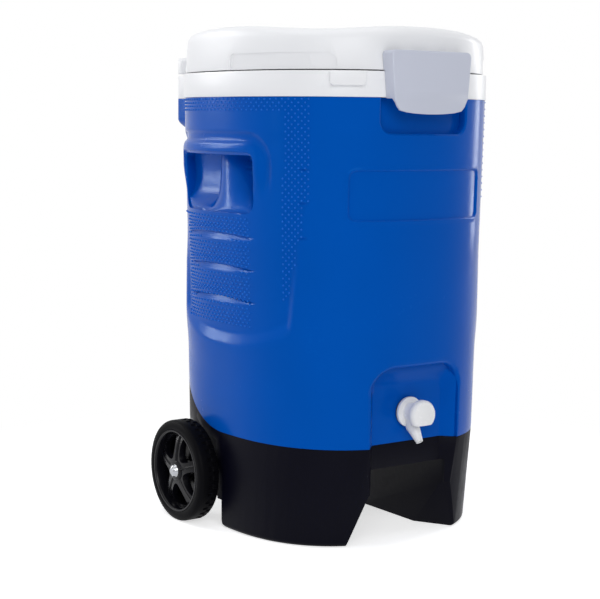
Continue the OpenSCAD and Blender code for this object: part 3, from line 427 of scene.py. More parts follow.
class Sheet:
    """One material or world and its nodes."""

    def __init__(self, name: str, kind: str = "Material") -> None:
        """Starts a material or world with an empty node tree and its output."""
        self.owner = (bpy.data.materials if kind == "Material" else bpy.data.worlds).new(name)
        self.owner.use_nodes = True
        self.tree = self.owner.node_tree
        self.tree.nodes.clear()
        self.end = self.tree.nodes.new("ShaderNodeOutput" + kind)

    def node(self, kind: str, settings: dict | None = None, sockets: dict | None = None) -> Signal:
        """Adds one node.

        Args:
            kind: The node's type.
            settings: Its settings, which are set first.
            sockets: Values or signals for its inputs, by name or number.

        Returns:
            Its first output that is in use.
        """
        made = self.tree.nodes.new(kind)
        for key, value in (settings or {}).items():
            setattr(made, key, value)
        for key, value in (sockets or {}).items():
            if isinstance(value, Signal):
                self.tree.links.new(value.socket, made.inputs[key])
            else:
                made.inputs[key].default_value = value
        return Signal(self, next(socket for socket in made.outputs if socket.enabled))

    def place(self) -> Signal:
        """Object coordinates, in metres."""
        return self.node("ShaderNodeTexCoord").out("Object")

    def noise(self, scale: float, detail: float = 2.0, rough: float = 0.5,
              at: Signal | None = None) -> Signal:
        """Noise of about scale cells to the metre, from 0 to 1."""
        return self.node("ShaderNodeTexNoise", {"noise_dimensions": "3D"}, {
            "Vector": at or self.place(), "Scale": scale, "Detail": detail, "Roughness": rough})

    def tint(self, factor: Signal, a: Sequence, b: Sequence) -> Signal:
        """A colour between a and b."""
        return self.node("ShaderNodeMix", {"data_type": "RGBA"}, {
            0: factor, 6: (*a, 1.0), 7: (*b, 1.0)})

    def relief(self, height: Signal) -> Signal:
        """A normal from a height in millimetres."""
        return self.node("ShaderNodeBump", None, {"Height": height, "Distance": MM, "Strength": 1.0})

    def mix(self, factor: Signal, a: Signal, b: Signal) -> Signal:
        """A shader between a and b."""
        return self.node("ShaderNodeMixShader", None, {0: factor, 1: a, 2: b})

    def close(self, shader: Signal) -> object:
        """Ends the sheet in a shader, and gives the material or world."""
        self.tree.links.new(shader.socket, self.end.inputs["Surface"])
        return self.owner

    def direct(self) -> Signal:
        """1 for camera, glossy and transmission rays, and 0 for all others."""
        path = self.node("ShaderNodeLightPath")
        seen = path.out("Is Camera Ray") + path.out("Is Glossy Ray") + path.out("Is Transmission Ray")
        return seen.lowest(1.0)

    def surface(self, sockets: dict) -> bpy.types.Material:
        """Ends the sheet in one Principled shader with these sockets."""
        return self.close(self.node("ShaderNodeBsdfPrincipled", None, sockets))


class Gloss(Enum):
    """How a moulded surface was finished in its mould."""

    SATIN = 0.38
    BRIGHT = 0.21
    SMOOTH = 0.28
    MATT = 0.62


@dataclass(frozen=True)
class Moulded:
    """A moulded plastic with a faint grain, flow streaks and uneven gloss."""

    name: str
    colour: tuple
    gloss: Gloss = Gloss.SATIN
    grain: float = 0.02
    grain_per_m: float = 900.0
    specular: float = 0.4
    uneven: float = 0.08
    sheen: tuple = (1.0, 1.0, 1.0)

    def shades(self, sheet: Sheet) -> tuple[Signal, Signal]:
        """The colour and the roughness, uneven at a low scale."""
        wide = sheet.noise(14.0, 3.0)
        dark = tuple(c * (1 - self.uneven) for c in self.colour)
        light = tuple(min(1.0, c * (1 + self.uneven)) for c in self.colour)
        fine = sheet.noise(160.0, 2.0)
        rough = wide.ramp(0.3, 0.7, -0.04, 0.04) + fine.ramp(0.3, 0.7, -0.03, 0.03)
        return sheet.tint(wide, dark, light), rough + self.gloss.value

    def material(self) -> bpy.types.Material:
        """Builds the material."""
        sheet = Sheet(self.name)
        colour, rough = self.shades(sheet)
        return sheet.surface({
            "Base Color": colour, "Roughness": rough, "IOR": 1.5,
            "Specular IOR Level": self.specular,
            "Specular Tint": (*self.sheen, 1.0),
            "Normal": sheet.relief(sheet.noise(self.grain_per_m, 2.0, 0.6) * self.grain)})


@dataclass(frozen=True)
class Studded(Moulded):
    """Moulded plastic whose raised dots get a painted highlight: their tops are painted paler."""

    # How strongly the painted highlight lightens the dots' tops.
    painted_highlight: float = 0.9

    def shades(self, sheet: Sheet) -> tuple[Signal, Signal]:
        """Mixes a painted highlight, a paler colour, into the dots' tops where the crown attribute asks for
        it.
        """
        colour, rough = super().shades(sheet)
        crown = sheet.node("ShaderNodeAttribute", {"attribute_name": "crown"}).out("Fac")
        # The painted highlight's colour: the drum's blue, made lighter.
        highlight_tone = tuple(min(1.0, 1.35 * c + 0.05) for c in self.colour)
        return sheet.node("ShaderNodeMix", {"data_type": "RGBA"}, {
            0: crown * self.painted_highlight, 6: colour, 7: (0.02, *highlight_tone[1:], 1.0)}), rough


@dataclass(frozen=True)
class Metal:
    """Bare metal with fine drawn lines along one axis."""

    name: str
    colour: tuple
    rough: float = 0.32
    lines_along: Axis = Axis.Z
    lines: float = 0.012
    long_per_m: float = 60.0
    fine_per_m: float = 1400.0

    def material(self) -> bpy.types.Material:
        """Builds the material."""
        sheet = Sheet(self.name)
        squeeze = [self.long_per_m if way is self.lines_along else self.fine_per_m for way in Axis]
        drawn = sheet.node("ShaderNodeMapping", {"vector_type": "POINT"}, {
            "Vector": sheet.place(), "Scale": squeeze})
        streak = sheet.noise(1.0, 2.0, 0.6, drawn)
        stain = sheet.noise(40.0, 3.0)
        dark = tuple(c * 0.86 for c in self.colour)
        return sheet.surface({
            "Base Color": sheet.tint(stain, dark, self.colour), "Metallic": 1.0,
            "Roughness": streak.ramp(0.3, 0.7, -0.06, 0.06) + self.rough,
            "Normal": sheet.relief(streak * self.lines)})


@dataclass(frozen=True)
class Soft:
    """Rubber, foam and other dull stuff with a pitted skin."""

    name: str
    colour: tuple
    rough: float = 0.85
    pit: float = 0.06
    pits_per_m: float = 420.0
    shine: float = 0.3

    def material(self) -> bpy.types.Material:
        """Builds the material."""
        sheet = Sheet(self.name)
        cells = sheet.node("ShaderNodeTexVoronoi", {"feature": "F1"}, {
            "Vector": sheet.place(), "Scale": self.pits_per_m})
        wide = sheet.noise(22.0, 3.0)
        dark = tuple(c * 0.82 for c in self.colour)
        return sheet.surface({
            "Base Color": sheet.tint(wide, dark, self.colour),
            "Roughness": wide.ramp(0.3, 0.7, -0.06, 0.05) + self.rough,
            "Specular IOR Level": self.shine,
            "Normal": sheet.relief(cells * self.pit)})


class Finishes:
    """Every finish of the cooler by the record's slot, made once."""

    kinds = {
        "drum_blue": Studded("drum_blue_plastic", (0.0, 0.08, 0.44), Gloss.BRIGHT, grain=0.006,
                             specular=0.1, uneven=0.04, sheen=(0.1, 0.6, 1.0)),
        "lid_white": Moulded("lid_white_plastic", (0.86, 0.865, 0.88), uneven=0.012),
        "liner_white": Moulded("liner_white_plastic", (0.82, 0.83, 0.84), Gloss.SMOOTH, uneven=0.015),
        "latch_grey": Moulded("latch_grey_plastic", (0.58, 0.605, 0.70), uneven=0.02),
        "base_black": Moulded("base_black_plastic", (0.0018, 0.0018, 0.006), grain=0.03,
                              grain_per_m=700.0, specular=0.06),
        "wheel_black": Moulded("wheel_black_plastic", (0.003, 0.003, 0.005), Gloss.BRIGHT, specular=0.16),
        "tyre_black": Soft("tyre_black_rubber", (0.002, 0.002, 0.003), 0.5, 0.03, shine=0.04),
        "tap_white": Moulded("tap_white_plastic", (0.88, 0.88, 0.88), Gloss.SMOOTH, uneven=0.01),
        "guide_black": Moulded("guide_black_plastic", (0.02, 0.02, 0.022), Gloss.MATT),
        "tube_steel": Metal("handle_tube_steel", (0.62, 0.63, 0.65), 0.28),
        "pin_steel": Metal("pin_steel", (0.60, 0.61, 0.63), 0.34, Axis.X),
        "cap_chrome": Metal("cap_chrome", (0.42, 0.43, 0.45), 0.12, Axis.X, 0.004),
        "seal_rubber": Soft("seal_rubber", (0.05, 0.05, 0.052)),
        "foam_cream": Soft("foam_cream", (0.84, 0.74, 0.42), 0.9, 0.25, 300.0)}

    def __init__(self) -> None:
        """Builds the materials."""
        self.made = {slot: kind.material() for slot, kind in self.kinds.items()}

    def dress(self, obj: Obj, slot: str) -> None:
        """Gives obj the one material of a slot."""
        obj.data.materials.clear()
        obj.data.materials.append(self.made[slot])

    def finish(self, obj: Obj, slot: str, body: str, *nodes: str) -> None:
        """Dresses a piece, sets it on its body and lets it stand for fixed nodes.

        Args:
            obj: The piece.
            slot: The record's slot for what it is made of.
            body: The body that it moves with.
            nodes: The fixed nodes that it stands for.
        """
        self.dress(obj, slot)
        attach(obj, body)
        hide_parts(*nodes)
        log.info("%s: %d faces", obj.name, len(obj.data.polygons))


# ---- the drum ---------------------------------------------------------------------------

PLAN_POWER = 0.8
BASE_H = 119.0
DRUM_TOP = 524.0
DRUM_LOW = (160.0, 181.0)
DRUM_HIGH = (168.0, 186.0)
FOOT = (159.0, 166.0)
PART_RISE = 75.0
PART_RUN = 150.0


def curve(v: Array) -> Array:
    """Squares a sine or cosine off, for the plan's rounded-square outline."""
    return np.sign(v) * np.abs(v) ** PLAN_POWER


def drum_half(z: Array) -> tuple[Array, Array]:
    """Half width and half depth of the drum and its foot at the heights z."""
    up = (z - BASE_H) / (DRUM_TOP - BASE_H)
    down = np.clip(1 - z / BASE_H, 0, 1)
    return tuple(np.where(z >= BASE_H, low + (high - low) * up, low + (foot - low) * down)
                 for low, high, foot in zip(DRUM_LOW, DRUM_HIGH, FOOT))


def part_z(y: Array) -> Array:
    """Height of the parting between the base and the drum."""
    return BASE_H + PART_RISE * (1 - np.cos(np.pi / 2 * np.clip(y / PART_RUN, 0, 1)))


def plan_at(half: Array, share: Array) -> Array:
    """How far out the plan curve is on one axis, at a share of the way out on the other."""
    return half * np.clip(1 - np.abs(share) ** (2 / PLAN_POWER), 0, 1) ** (PLAN_POWER / 2)


def side_x(y: Array, z: Array) -> Array:
    """How far out the drum's side is at (y, z)."""
    half_x, half_y = drum_half(z)
    return plan_at(half_x, y / half_y)


def plan_ring(half_x: float, half_y: float, turns: Array) -> tuple[Array, Array]:
    """Places round a plan curve; turn 0 is behind and a quarter turn is to the left."""
    return -half_x * curve(np.sin(turns)), half_y * curve(np.cos(turns))


def level_ring(half_x: float, half_y: float, turns: Array, z: float) -> Array:
    """A plan curve as a ring of points at one height."""
    return in_plane(np.stack(plan_ring(half_x, half_y, turns), axis=1), Axis.Z, z)


def run_round(half_x: float, half_y: float) -> tuple[Array, Array]:
    """Fine turns half the way round a plan curve, and the length run up to each."""
    fine = np.linspace(0, np.pi, 4001)
    x, y = plan_ring(half_x, half_y, fine)
    return fine, np.concatenate([[0], np.cumsum(np.hypot(np.diff(x), np.diff(y)))])


def turns_for(half_x: float, half_y: float, *spans: tuple) -> Array:
    """Turns round a plan curve, from the back's middle, spaced by length in millimetres.

    Args:
        half_x: Half the curve's width.
        half_y: Half its depth.
        spans: Each is (from, to, spacing) in shares of half the way round, and millimetres.

    Returns:
        The turns for a whole way round, without the last.
    """
    fine, run = run_round(half_x, half_y)
    length = run[-1]
    half = spread(*[(a * length, b * length, gap) for a, b, gap in spans])
    left = np.interp(half, run, fine)
    return np.concatenate([left, TURN - left[-2:0:-1]])


@dataclass
class Relief:
    """What stands out of the drum's skin or sinks into it, in millimetres."""

    pocket_low: tuple = (-63.0, 388.0)
    pocket_high: tuple = (101.0, 456.0)
    pocket_back: float = 131.5
    pocket_sill: float = 162.0
    cone_top: float = 144.5
    cone_foot: float = 162.5
    rear: float = 104.0
    lean: float = 14.0
    panel_depth: float = 3.0
    brim: float = 2.2
    bar_proud: float = 3.6
    groove: float = 2.2
    label_depth: float = 1.9
    label_low: tuple = (-96.0, 385.0)
    label_high: tuple = (96.0, 441.0)
    hollows: tuple = (360.0, 322.0, 284.0)
    hollow_h: float = 8.0
    hollow_deep: float = 2.6
    notches: tuple = (442.0, 404.0, 364.0)
    notch_deep: float = 1.6

    def border(self, z: Array) -> Array:
        """Direction of the side grip's front border at each height, in degrees from the front."""
        return np.interp(z, [252.0, 305.0, 440.0, 524.0], [50.0, 48.4, 43.5, 43.5])

    def bottom(self, y: Array) -> Array:
        """Height of the grip panel's lower edge."""
        return 229.0 + 23.0 * np.clip(np.abs(y + 8.0) / 107.0, 0, 1.3) ** 2.4

    def leant(self, y: Array, z: Array) -> Array:
        """How far the pocket's rear edge leans back at (y, z)."""
        (y0, z0), (y1, z1) = self.pocket_low, self.pocket_high
        return self.lean * np.clip((z - z0) / (z1 - z0), 0, 1.2) * np.clip((y - y0) / (y1 - y0), 0, 1.3)

    def pocket_floor(self, y: Array, z: Array) -> Array:
        """How far out the pocket's back is: half a cone stands in front of a deeper wall."""
        up = np.clip((z - self.pocket_low[1]) / (self.pocket_high[1] - self.pocket_low[1]), 0, 1)
        middle, half = -14.0 + 32.0 * up, 46.0 - 20.0 * up
        round_it = np.clip(1 - ((y - middle) / half) ** 2, 0, 1)
        wall = self.pocket_back + (self.pocket_sill - self.pocket_back) * (1 - up) ** 4.0
        cone = self.cone_top + (self.cone_foot - self.cone_top) * (1 - up)
        return wall + np.maximum(cone - wall, 0) * round_it ** 0.55

    def to_pocket(self, y: Array, z: Array) -> Array:
        """Distance outside the pocket's opening."""
        return to_plate(y - self.leant(y, z), z, self.pocket_low, self.pocket_high, 10.0)

    def panel(self, towards: Array, y: Array, z: Array) -> Array:
        """How deep the side grip's ground lies, with a low brim round its lower half."""
        edge = towards - self.border(z)
        fade = 0.35 + 0.65 * (1 - rise(z, 330.0, 120.0))
        slope = np.clip((z - self.bottom(y)) / 16.0, 0, 1)
        up = 0.7 * slope + 0.3 * ease(slope)
        low = 1 - rise(z, 345.0, 60.0)
        behind = 1 - low * ease((y - self.rear + 7.0) / 14.0)
        inside = np.minimum(ease(edge / 3.6), np.minimum(up, behind))
        brim = self.brim * (1 - rise(z, 300.0, 130.0)) * (1 - inside)
        brim = brim * rise(z, self.bottom(y) - 26.0, 52.0)
        brim = brim * rise(towards, 40.0, 14.0) * (1 - rise(y, 136.0, 26.0))
        ground = fade * ease(edge / 3.6) * up * behind
        return self.panel_depth * ground * (1 - 0.6 * rise(z, 480.0, 12.0)) - brim

    def frame_round(self, y: Array, z: Array) -> Array:
        """The bar over the pocket and the groove behind it."""
        away = self.to_pocket(y, z)
        there = rise(z, 424.0, 40.0)
        bar = np.clip(1 - ((away - 7.0) / 9.5) ** 2, 0, 1)
        groove = ease((away - 14.0) / 6.0) * (1 - ease((away - 25.6) / 2.4))
        return (bar * self.bar_proud - groove * self.groove) * there

    def thin(self, y: Array) -> Array:
        """How high a hollow across the grip is."""
        return self.hollow_h * np.clip(1 - (np.abs(y - 12.0) / 80.0) ** 2, 0, 1)

    def follow(self, y: Array, z: Array) -> Array:
        """How far the skin's rows are lifted to run along the hollows' upper edges."""
        lift = sum(1 - ease((np.abs(z - middle) - 4.0) / 9.0) for middle in self.hollows)
        return 0.5 * self.thin(y) * lift

    def lenses(self, y: Array, z: Array) -> Array:
        """Flat hollows across the grip, each with a sharp upper edge."""
        thin = self.thin(y)
        deep = np.zeros_like(z)
        for middle in self.hollows:
            down = middle + 0.5 * thin - z
            fall = np.clip(1 - (down - 1.4) / np.maximum(thin, 0.1), 0, 1)
            deep += ease(down / 1.4) * fall * ease(thin / 3.5)
        return self.hollow_deep * deep

    def dashes(self, towards: Array, z: Array) -> Array:
        """Short notches at the grip's front border."""
        deep = np.zeros_like(z)
        for middle in self.notches:
            down = middle - z
            deep += ease((down + 1.0) / 1.2) * ease(1 - down / 3.2) * bump(towards, 46.6, 3.0)
        return self.notch_deep * deep

    def label(self, x: Array, z: Array) -> Array:
        """The bare inset on the front."""
        away = to_plate(x, z, self.label_low, self.label_high, 8.0)
        return self.label_depth * (1 - rise(away, 0.3, 1.1)) - 0.7 * bump(away, 2.4, 1.9)

    def height(self, x: Array, y: Array, z: Array) -> Array:
        """All of it, for each place on the plain drum."""
        towards = np.degrees(np.arctan2(np.abs(x), -y))
        side = rise(towards, 42.0, 1.0)
        out = -self.panel(towards, y, z)
        out += self.frame_round(y, z) * side
        out -= self.lenses(y, z) * side
        out -= self.dashes(towards, z)
        return out - self.label(x, z) * (y < 0)

    def grip(self, x: Array, y: Array, z: Array) -> Array:
        """Where the small dots are, from 0 to 1."""
        towards = np.degrees(np.arctan2(np.abs(x), -y))
        low = 1 - rise(self.to_pocket(y, z), -30.0, 1.0)
        near = np.interp(z, [290.0, 322.0, 323.0, 362.0, 363.0, 404.0, 405.0],
                         [52.2, 50.6, 49.4, 48.0, 46.8, 45.8, 44.4])
        front = rise(towards, near, 1.0) * (1 - rise(towards, 54.5, 0.8)) * rise(z, 288.0, 4.0)
        middle = rise(y, -56.0, 2.0) * rise(z, 252.0, 4.0) * (1 - rise(z, 386.0, 3.0))
        top = rise(z, 508.0, 2.0) * rise(towards, 44.4, 1.0)
        smooth = np.clip(1.6 * self.lenses(y, z) * rise(y, -58.0, 2.0), 0, 1)
        dotted = np.maximum(np.maximum(front, middle), top) * (1 - low)
        ahead = y < np.where(z < 380, self.rear - 9.0, 118.0)
        return np.clip(dotted - smooth, 0, 1) * ahead


PROUD = 40.0
ALCOVE_BACK = 157.0
SCOOP_DEEP = 12.0
ROUNDED = [(6.0, -PROUD), (6.0, -6.0), (3.2, -0.6), (2.3, 0.15), (1.3, 0.7), (0.55, 1.55), (0.15, 2.6),
           (0.0, 4.0)]


def out_front(x: Array, z: Array) -> Array:
    """How far forward the drum's front is at (x, z)."""
    half_x, half_y = drum_half(np.minimum(z, DRUM_TOP))
    return plan_at(half_y, x / half_x)


def alcove_floor(x: Array, z: Array) -> Array:
    """How far forward the alcove's back wall is; it slopes outwards at both sides."""
    sides = 15.0 * np.clip((np.abs(x) - 52.0) / 15.0, 0, 1)
    return ALCOVE_BACK + np.maximum(sides, 9.0 * ease((z - 186.0) / 26.0))


def scoop_floor(x: Array, z: Array) -> Array:
    """How far forward the hollow under the latch is."""
    return out_front(x, z) - SCOOP_DEEP


@dataclass(frozen=True)
class Opening:
    """Something sunk into the drum through a mouth with a rounded rim.

    Attributes:
        size: The mouth's lowest and highest corner, across and up.
        radii: Radius of its lower and of its upper corners.
        skin: Gives how far out the drum's skin is.
        floor: Gives how far out the sunk floor is.
        side: -1 or 1 for the drum's left or right side, 0 for its front.
        until: How far in from the outline the floor still changes.
        lean: Gives how far the outline leans along its first direction.
        soft: How much larger than usual the rim's rounding is.
        between: How many points each straight side has between its ends.
        step: How far the floor's rings are apart.
        least: How far the floor lies in from the skin at least.
    """

    size: tuple
    radii: tuple
    skin: Callable
    floor: Callable
    side: int
    until: float = 0.0
    lean: Callable | None = None
    soft: float = 1.0
    between: int = 26
    step: float = 2.2
    least: float = 4.0

    def outline(self, wide: float, shut: bool = False) -> Array:
        """The mouth's outline, widened, or pressed flat at half height where it is shut."""
        u0, v0, u1, v1 = self.size
        low, high = (max(0.3, r + wide) for r in self.radii)
        bends = plate(u0 - wide, v0 - wide, u1 + wide, v1 + wide, low, high)
        flat = []
        for k, point in enumerate(bends):
            flat.append(point)
            if k % (ROUND_STEPS + 1) == ROUND_STEPS:
                ahead = bends[(k + 1) % len(bends)]
                flat += [tuple(a + (b - a) * t for a, b in zip(point, ahead))
                         for t in np.linspace(0, 1, self.between + 2)[1:-1]]
        flat = np.array(flat)
        if shut:
            flat[:, 1] = (v0 + v1) / 2
        if self.lean:
            flat[:, 0] += self.lean(*flat.T)
        return flat

    def points(self, flat: Array, out: Array) -> Array:
        """Puts places on the mouth at a distance out of the drum's middle."""
        u, v = flat.T
        if self.side:
            return np.stack([self.side * out, u, v], axis=1)
        return np.stack([u, -out, v], axis=1)

    def cutter(self, grow: float = 0.0) -> Obj:
        """The solid that is cut away, or one that is larger all round for the walls behind."""
        u0, v0, u1, v1 = self.size
        table = []
        for wide, sunk in [(grow, -PROUD)] if grow else ROUNDED:
            flat = self.outline(wide * (1.0 if grow else self.soft))
            skin = self.skin(*flat.T)
            if sunk > 0:
                sunk = np.minimum(sunk * self.soft, skin - self.floor(*flat.T) - 0.1)
            table.append(self.points(flat, skin - sunk))
        last = self.until or min(u1 - u0, v1 - v0) / 2 + grow - 0.6
        insets = [(sunk_in, False) for sunk_in in spread((0.0, last, self.step))]
        for sunk_in, shut in insets + ([] if self.until else [(last, True)]):
            flat = self.outline(grow - sunk_in, shut)
            deep = np.minimum(self.floor(*flat.T), self.skin(*flat.T) - self.least).round(3)
            table.append(self.points(flat, deep - grow))
        return Bench.sheet("cutter", table)


@dataclass
class Drum:
    """The blue outer skin, with its grips, its label place and the column behind it."""

    relief: Relief = field(default_factory=Relief)
    dot_gap: float = 8.2
    row_gap: float = 4.1
    column_half: float = 84.0
    head_wider: float = 28.0
    wall: float = 8.5
    lip_wall: float = 4.5
    foam_gap: float = 4.0
    tube_at: tuple = (70.0, 186.05)
    tube_r: float = 10.0
    tap_z: float = 155.0
    tap_r: float = 11.5
    crown_h: float = 0.9

    def heights(self) -> Array:
        """Heights of the rings."""
        return spread((100.0, 222.0, 8.0), (222.0, 270.0, 2.7), (270.0, 279.0, 1.8), (279.0, 286.0, 0.7),
                      (286.0, 306.0, 3.4), (306.0, 317.0, 1.8), (317.0, 324.0, 0.7), (324.0, 344.0, 3.4),
                      (344.0, 355.0, 1.8), (355.0, 366.0, 0.8), (366.0, 382.0, 2.2), (382.0, 388.0, 0.7),
                      (388.0, 390.0, 1.3), (390.0, 400.0, 2.2), (400.0, 406.0, 0.75),
                      (406.0, 438.0, 2.9), (438.0, 444.0, 0.75), (444.0, 456.0, 2.0),
                      (456.0, 490.0, 1.8), (490.0, DRUM_TOP, 3.0))

    def skin(self) -> Obj:
        """The drum's outside as a closed solid."""
        turns = turns_for(*DRUM_HIGH, (0.0, 0.16, 9.0), (0.16, 0.68, 2.5), (0.68, 0.78, 1.7),
                          (0.78, 0.822, 3.4), (0.822, 0.836, 0.9), (0.836, 1.0, 5.0))
        return Bench.sheet("drum_skin", self.placed(*np.meshgrid(turns, self.heights()))[0])

    def plain(self, turns: Array, zs: Array) -> tuple:
        """The drum without its relief.

        Args:
            turns: Turns round the drum.
            zs: Heights, one for each turn.

        Returns:
            The places across and along, and the way the drum faces there.
        """
        half_x, half_y = drum_half(zs)
        x, y = plan_ring(half_x, half_y, turns)
        power = 2 / PLAN_POWER - 1
        nx = np.sign(x) * np.abs(x / half_x) ** power / half_x
        ny = np.sign(y) * np.abs(y / half_y) ** power / half_y
        size = np.hypot(nx, ny)
        return (x, y), (nx / size, ny / size)

    def placed(self, turns: Array, zs: Array) -> tuple[Array, Array]:
        """Places on the drum's skin with its relief, and the way they face from above."""
        (x, y), _ = self.plain(turns, zs)
        zs = zs + self.relief.follow(y, zs)
        (x, y), (nx, ny) = self.plain(turns, zs)
        out = self.relief.height(x, y, zs)
        return np.stack([x + nx * out, y + ny * out, zs], axis=-1), np.stack([nx, ny], axis=-1)

    def column(self) -> Obj:
        """The column behind the drum with its wider head."""
        table = []
        for z in spread((90.0, 470.0, 95.0), (470.0, 500.0, 2.5), (500.0, DRUM_TOP, 6.0)):
            half = self.column_half + self.head_wider * rise(z, 485.0, 26.0)
            table.append(in_plane(plate(-half, 120.0, half, 198.0, 4.0, 14.5, 10), Axis.Z, z))
        return Bench.sheet("column", table)

    def below(self, lift: float = 0.0) -> Obj:
        """What is cut off below the parting, or so much above it."""
        far, down = 230.0, 60.0
        line = [(y, part_z(y) + lift) for y in spread((0.0, PART_RUN, 7.5))]
        points = [(-far, down), (-far, BASE_H + lift), *line, (far, line[-1][1]), (far, down)]
        return Bench.slab("cutter", in_plane(points, Axis.X, -far), (2 * far, 0, 0))

    def inside(self) -> Obj:
        """The room inside the skin, without the walls behind what is sunk into it."""
        turns = turns_for(*DRUM_HIGH, (0.0, 1.0, 7.0))
        rings = []
        for z, wall in ((124.0, self.wall), (300.0, self.wall), (DRUM_TOP - 4.0, self.wall),
                        (DRUM_TOP - 3.9, self.lip_wall), (DRUM_TOP + 12.0, self.lip_wall)):
            half_x, half_y = drum_half(min(z, DRUM_TOP))
            rings.append(level_ring(half_x - wall, half_y - wall, turns, z))
        room = Bench.sheet("cutter", rings)
        back = Bench.slab("cutter", in_plane(plate(-80.0, 118.0, 80.0, 195.6, 2.0, 11.0), Axis.Z, 90.0),
                          (0, 0, 450.0))
        Bench.combine(room, [back], How.ADD)
        walls = [self.below(self.foam_gap), *(way.cutter(self.lip_wall) for way in self.openings())]
        Bench.combine(room, walls, How.CUT)
        x, y = self.tube_at
        guides = [Bench.lathe("cutter", [(0, 150.0), (self.tube_r, 150.0), (self.tube_r, 540.0), (0, 540.0)],
                              (side * x, y, 0), Axis.Z, 32, False) for side in (-1, 1)]
        tap = Bench.lathe("cutter", [(0, -185.0), (self.tap_r, -185.0), (self.tap_r, -100.0), (0, -100.0)],
                          (0, 0, self.tap_z), Axis.Y, 48, False)
        return Bench.combine(room, [*guides, tap], How.ADD)

    def dots(self) -> Obj:
        """The small domes of both side grips, in staggered rows."""
        fine, run = run_round(*DRUM_HIGH)
        first = Bench.lathe("dome", [(0, 1.35), (0.85, 1.1), (1.9, -0.4), (0, -0.4)],
                            (0, 0, 0), Axis.X, 5, False)
        # crown marks each dome's top, where the drum's material paints a highlight.
        crown = first.data.attributes.new("crown", "FLOAT", "POINT")
        tops = [min(1.0, max(0.0, v.co.x / (self.crown_h * MM))) for v in first.data.vertices]
        crown.data.foreach_set("value", tops)
        made = []
        for k, height in enumerate(np.arange(255.0, DRUM_TOP - 2.0, self.row_gap)):
            along = np.arange(0.5 * self.dot_gap * (k % 2) + 1.0, run[-1], self.dot_gap)
            turns = np.interp(along, run, fine)
            zs = np.full(len(turns), height)
            x_at, y_at = self.plain(turns, zs)[0]
            keep = self.relief.grip(x_at, y_at, zs + self.relief.follow(y_at, zs)) > 0.5
            for at, (nx, ny) in zip(*self.placed(turns[keep], zs[keep])):
                turn = Matrix.Rotation(math.atan2(ny, nx), 4, "Z")
                made.append(Bench.twin(first, "dome", Matrix.Translation(Vector(at) * MM) @ turn))
        bpy.data.objects.remove(first)
        dots = Bench.join(made[0], made[1:])
        return Bench.join(dots, [Bench.twin(dots, "dome", MIRROR)])

    def openings(self) -> list:
        """Both pockets, the alcove and the scoop."""
        near = self.relief
        pockets = [Opening((*near.pocket_low, *near.pocket_high), (14.0, 7.0), side_x, near.pocket_floor,
                           side, lean=near.leant) for side in (-1, 1)]
        return pockets + [
            Opening((-67.0, 10.0, 67.0, 212.0), (1.0, 33.0), out_front, alcove_floor, 0, 24.0, soft=1.7),
            Opening((-63.0, 484.0, 63.0, 546.0), (14.0, 1.0), out_front, scoop_floor, 0)]

    def foam(self, finishes: Finishes) -> None:
        """The foam, kept to the room that the skin leaves it."""
        foam = Bench.from_node("foam_core", "foam_fill")
        Bench.combine(foam, [self.inside()], How.KEEP)
        finishes.finish(foam, "foam_cream", "body", "foam_core")

    def build(self, finishes: Finishes) -> None:
        """Builds the skin and dresses it."""
        skin = self.skin()
        Bench.combine(skin, [self.column()], How.ADD)
        cutters = [way.cutter() for way in self.openings()] + [self.below(), self.inside()]
        Bench.combine(skin, cutters, How.CUT)
        Bench.join(skin, [self.dots()])
        skin.name = skin.data.name = "outer_skin"
        Bench.smooth(skin, 38)
        finishes.finish(skin, "drum_blue", "body", "outer_shell")


# ---- softened pieces --------------------------------------------------------------------


def softened(node: str, width: float) -> Obj:
    """A copy of a fixed node with its sharp edges rounded by width, in millimetres."""
    made = Bench.from_node(node, node + "_visual")
    Bench.soften(made, width, angle=45)
    return Bench.smooth(made, 38)


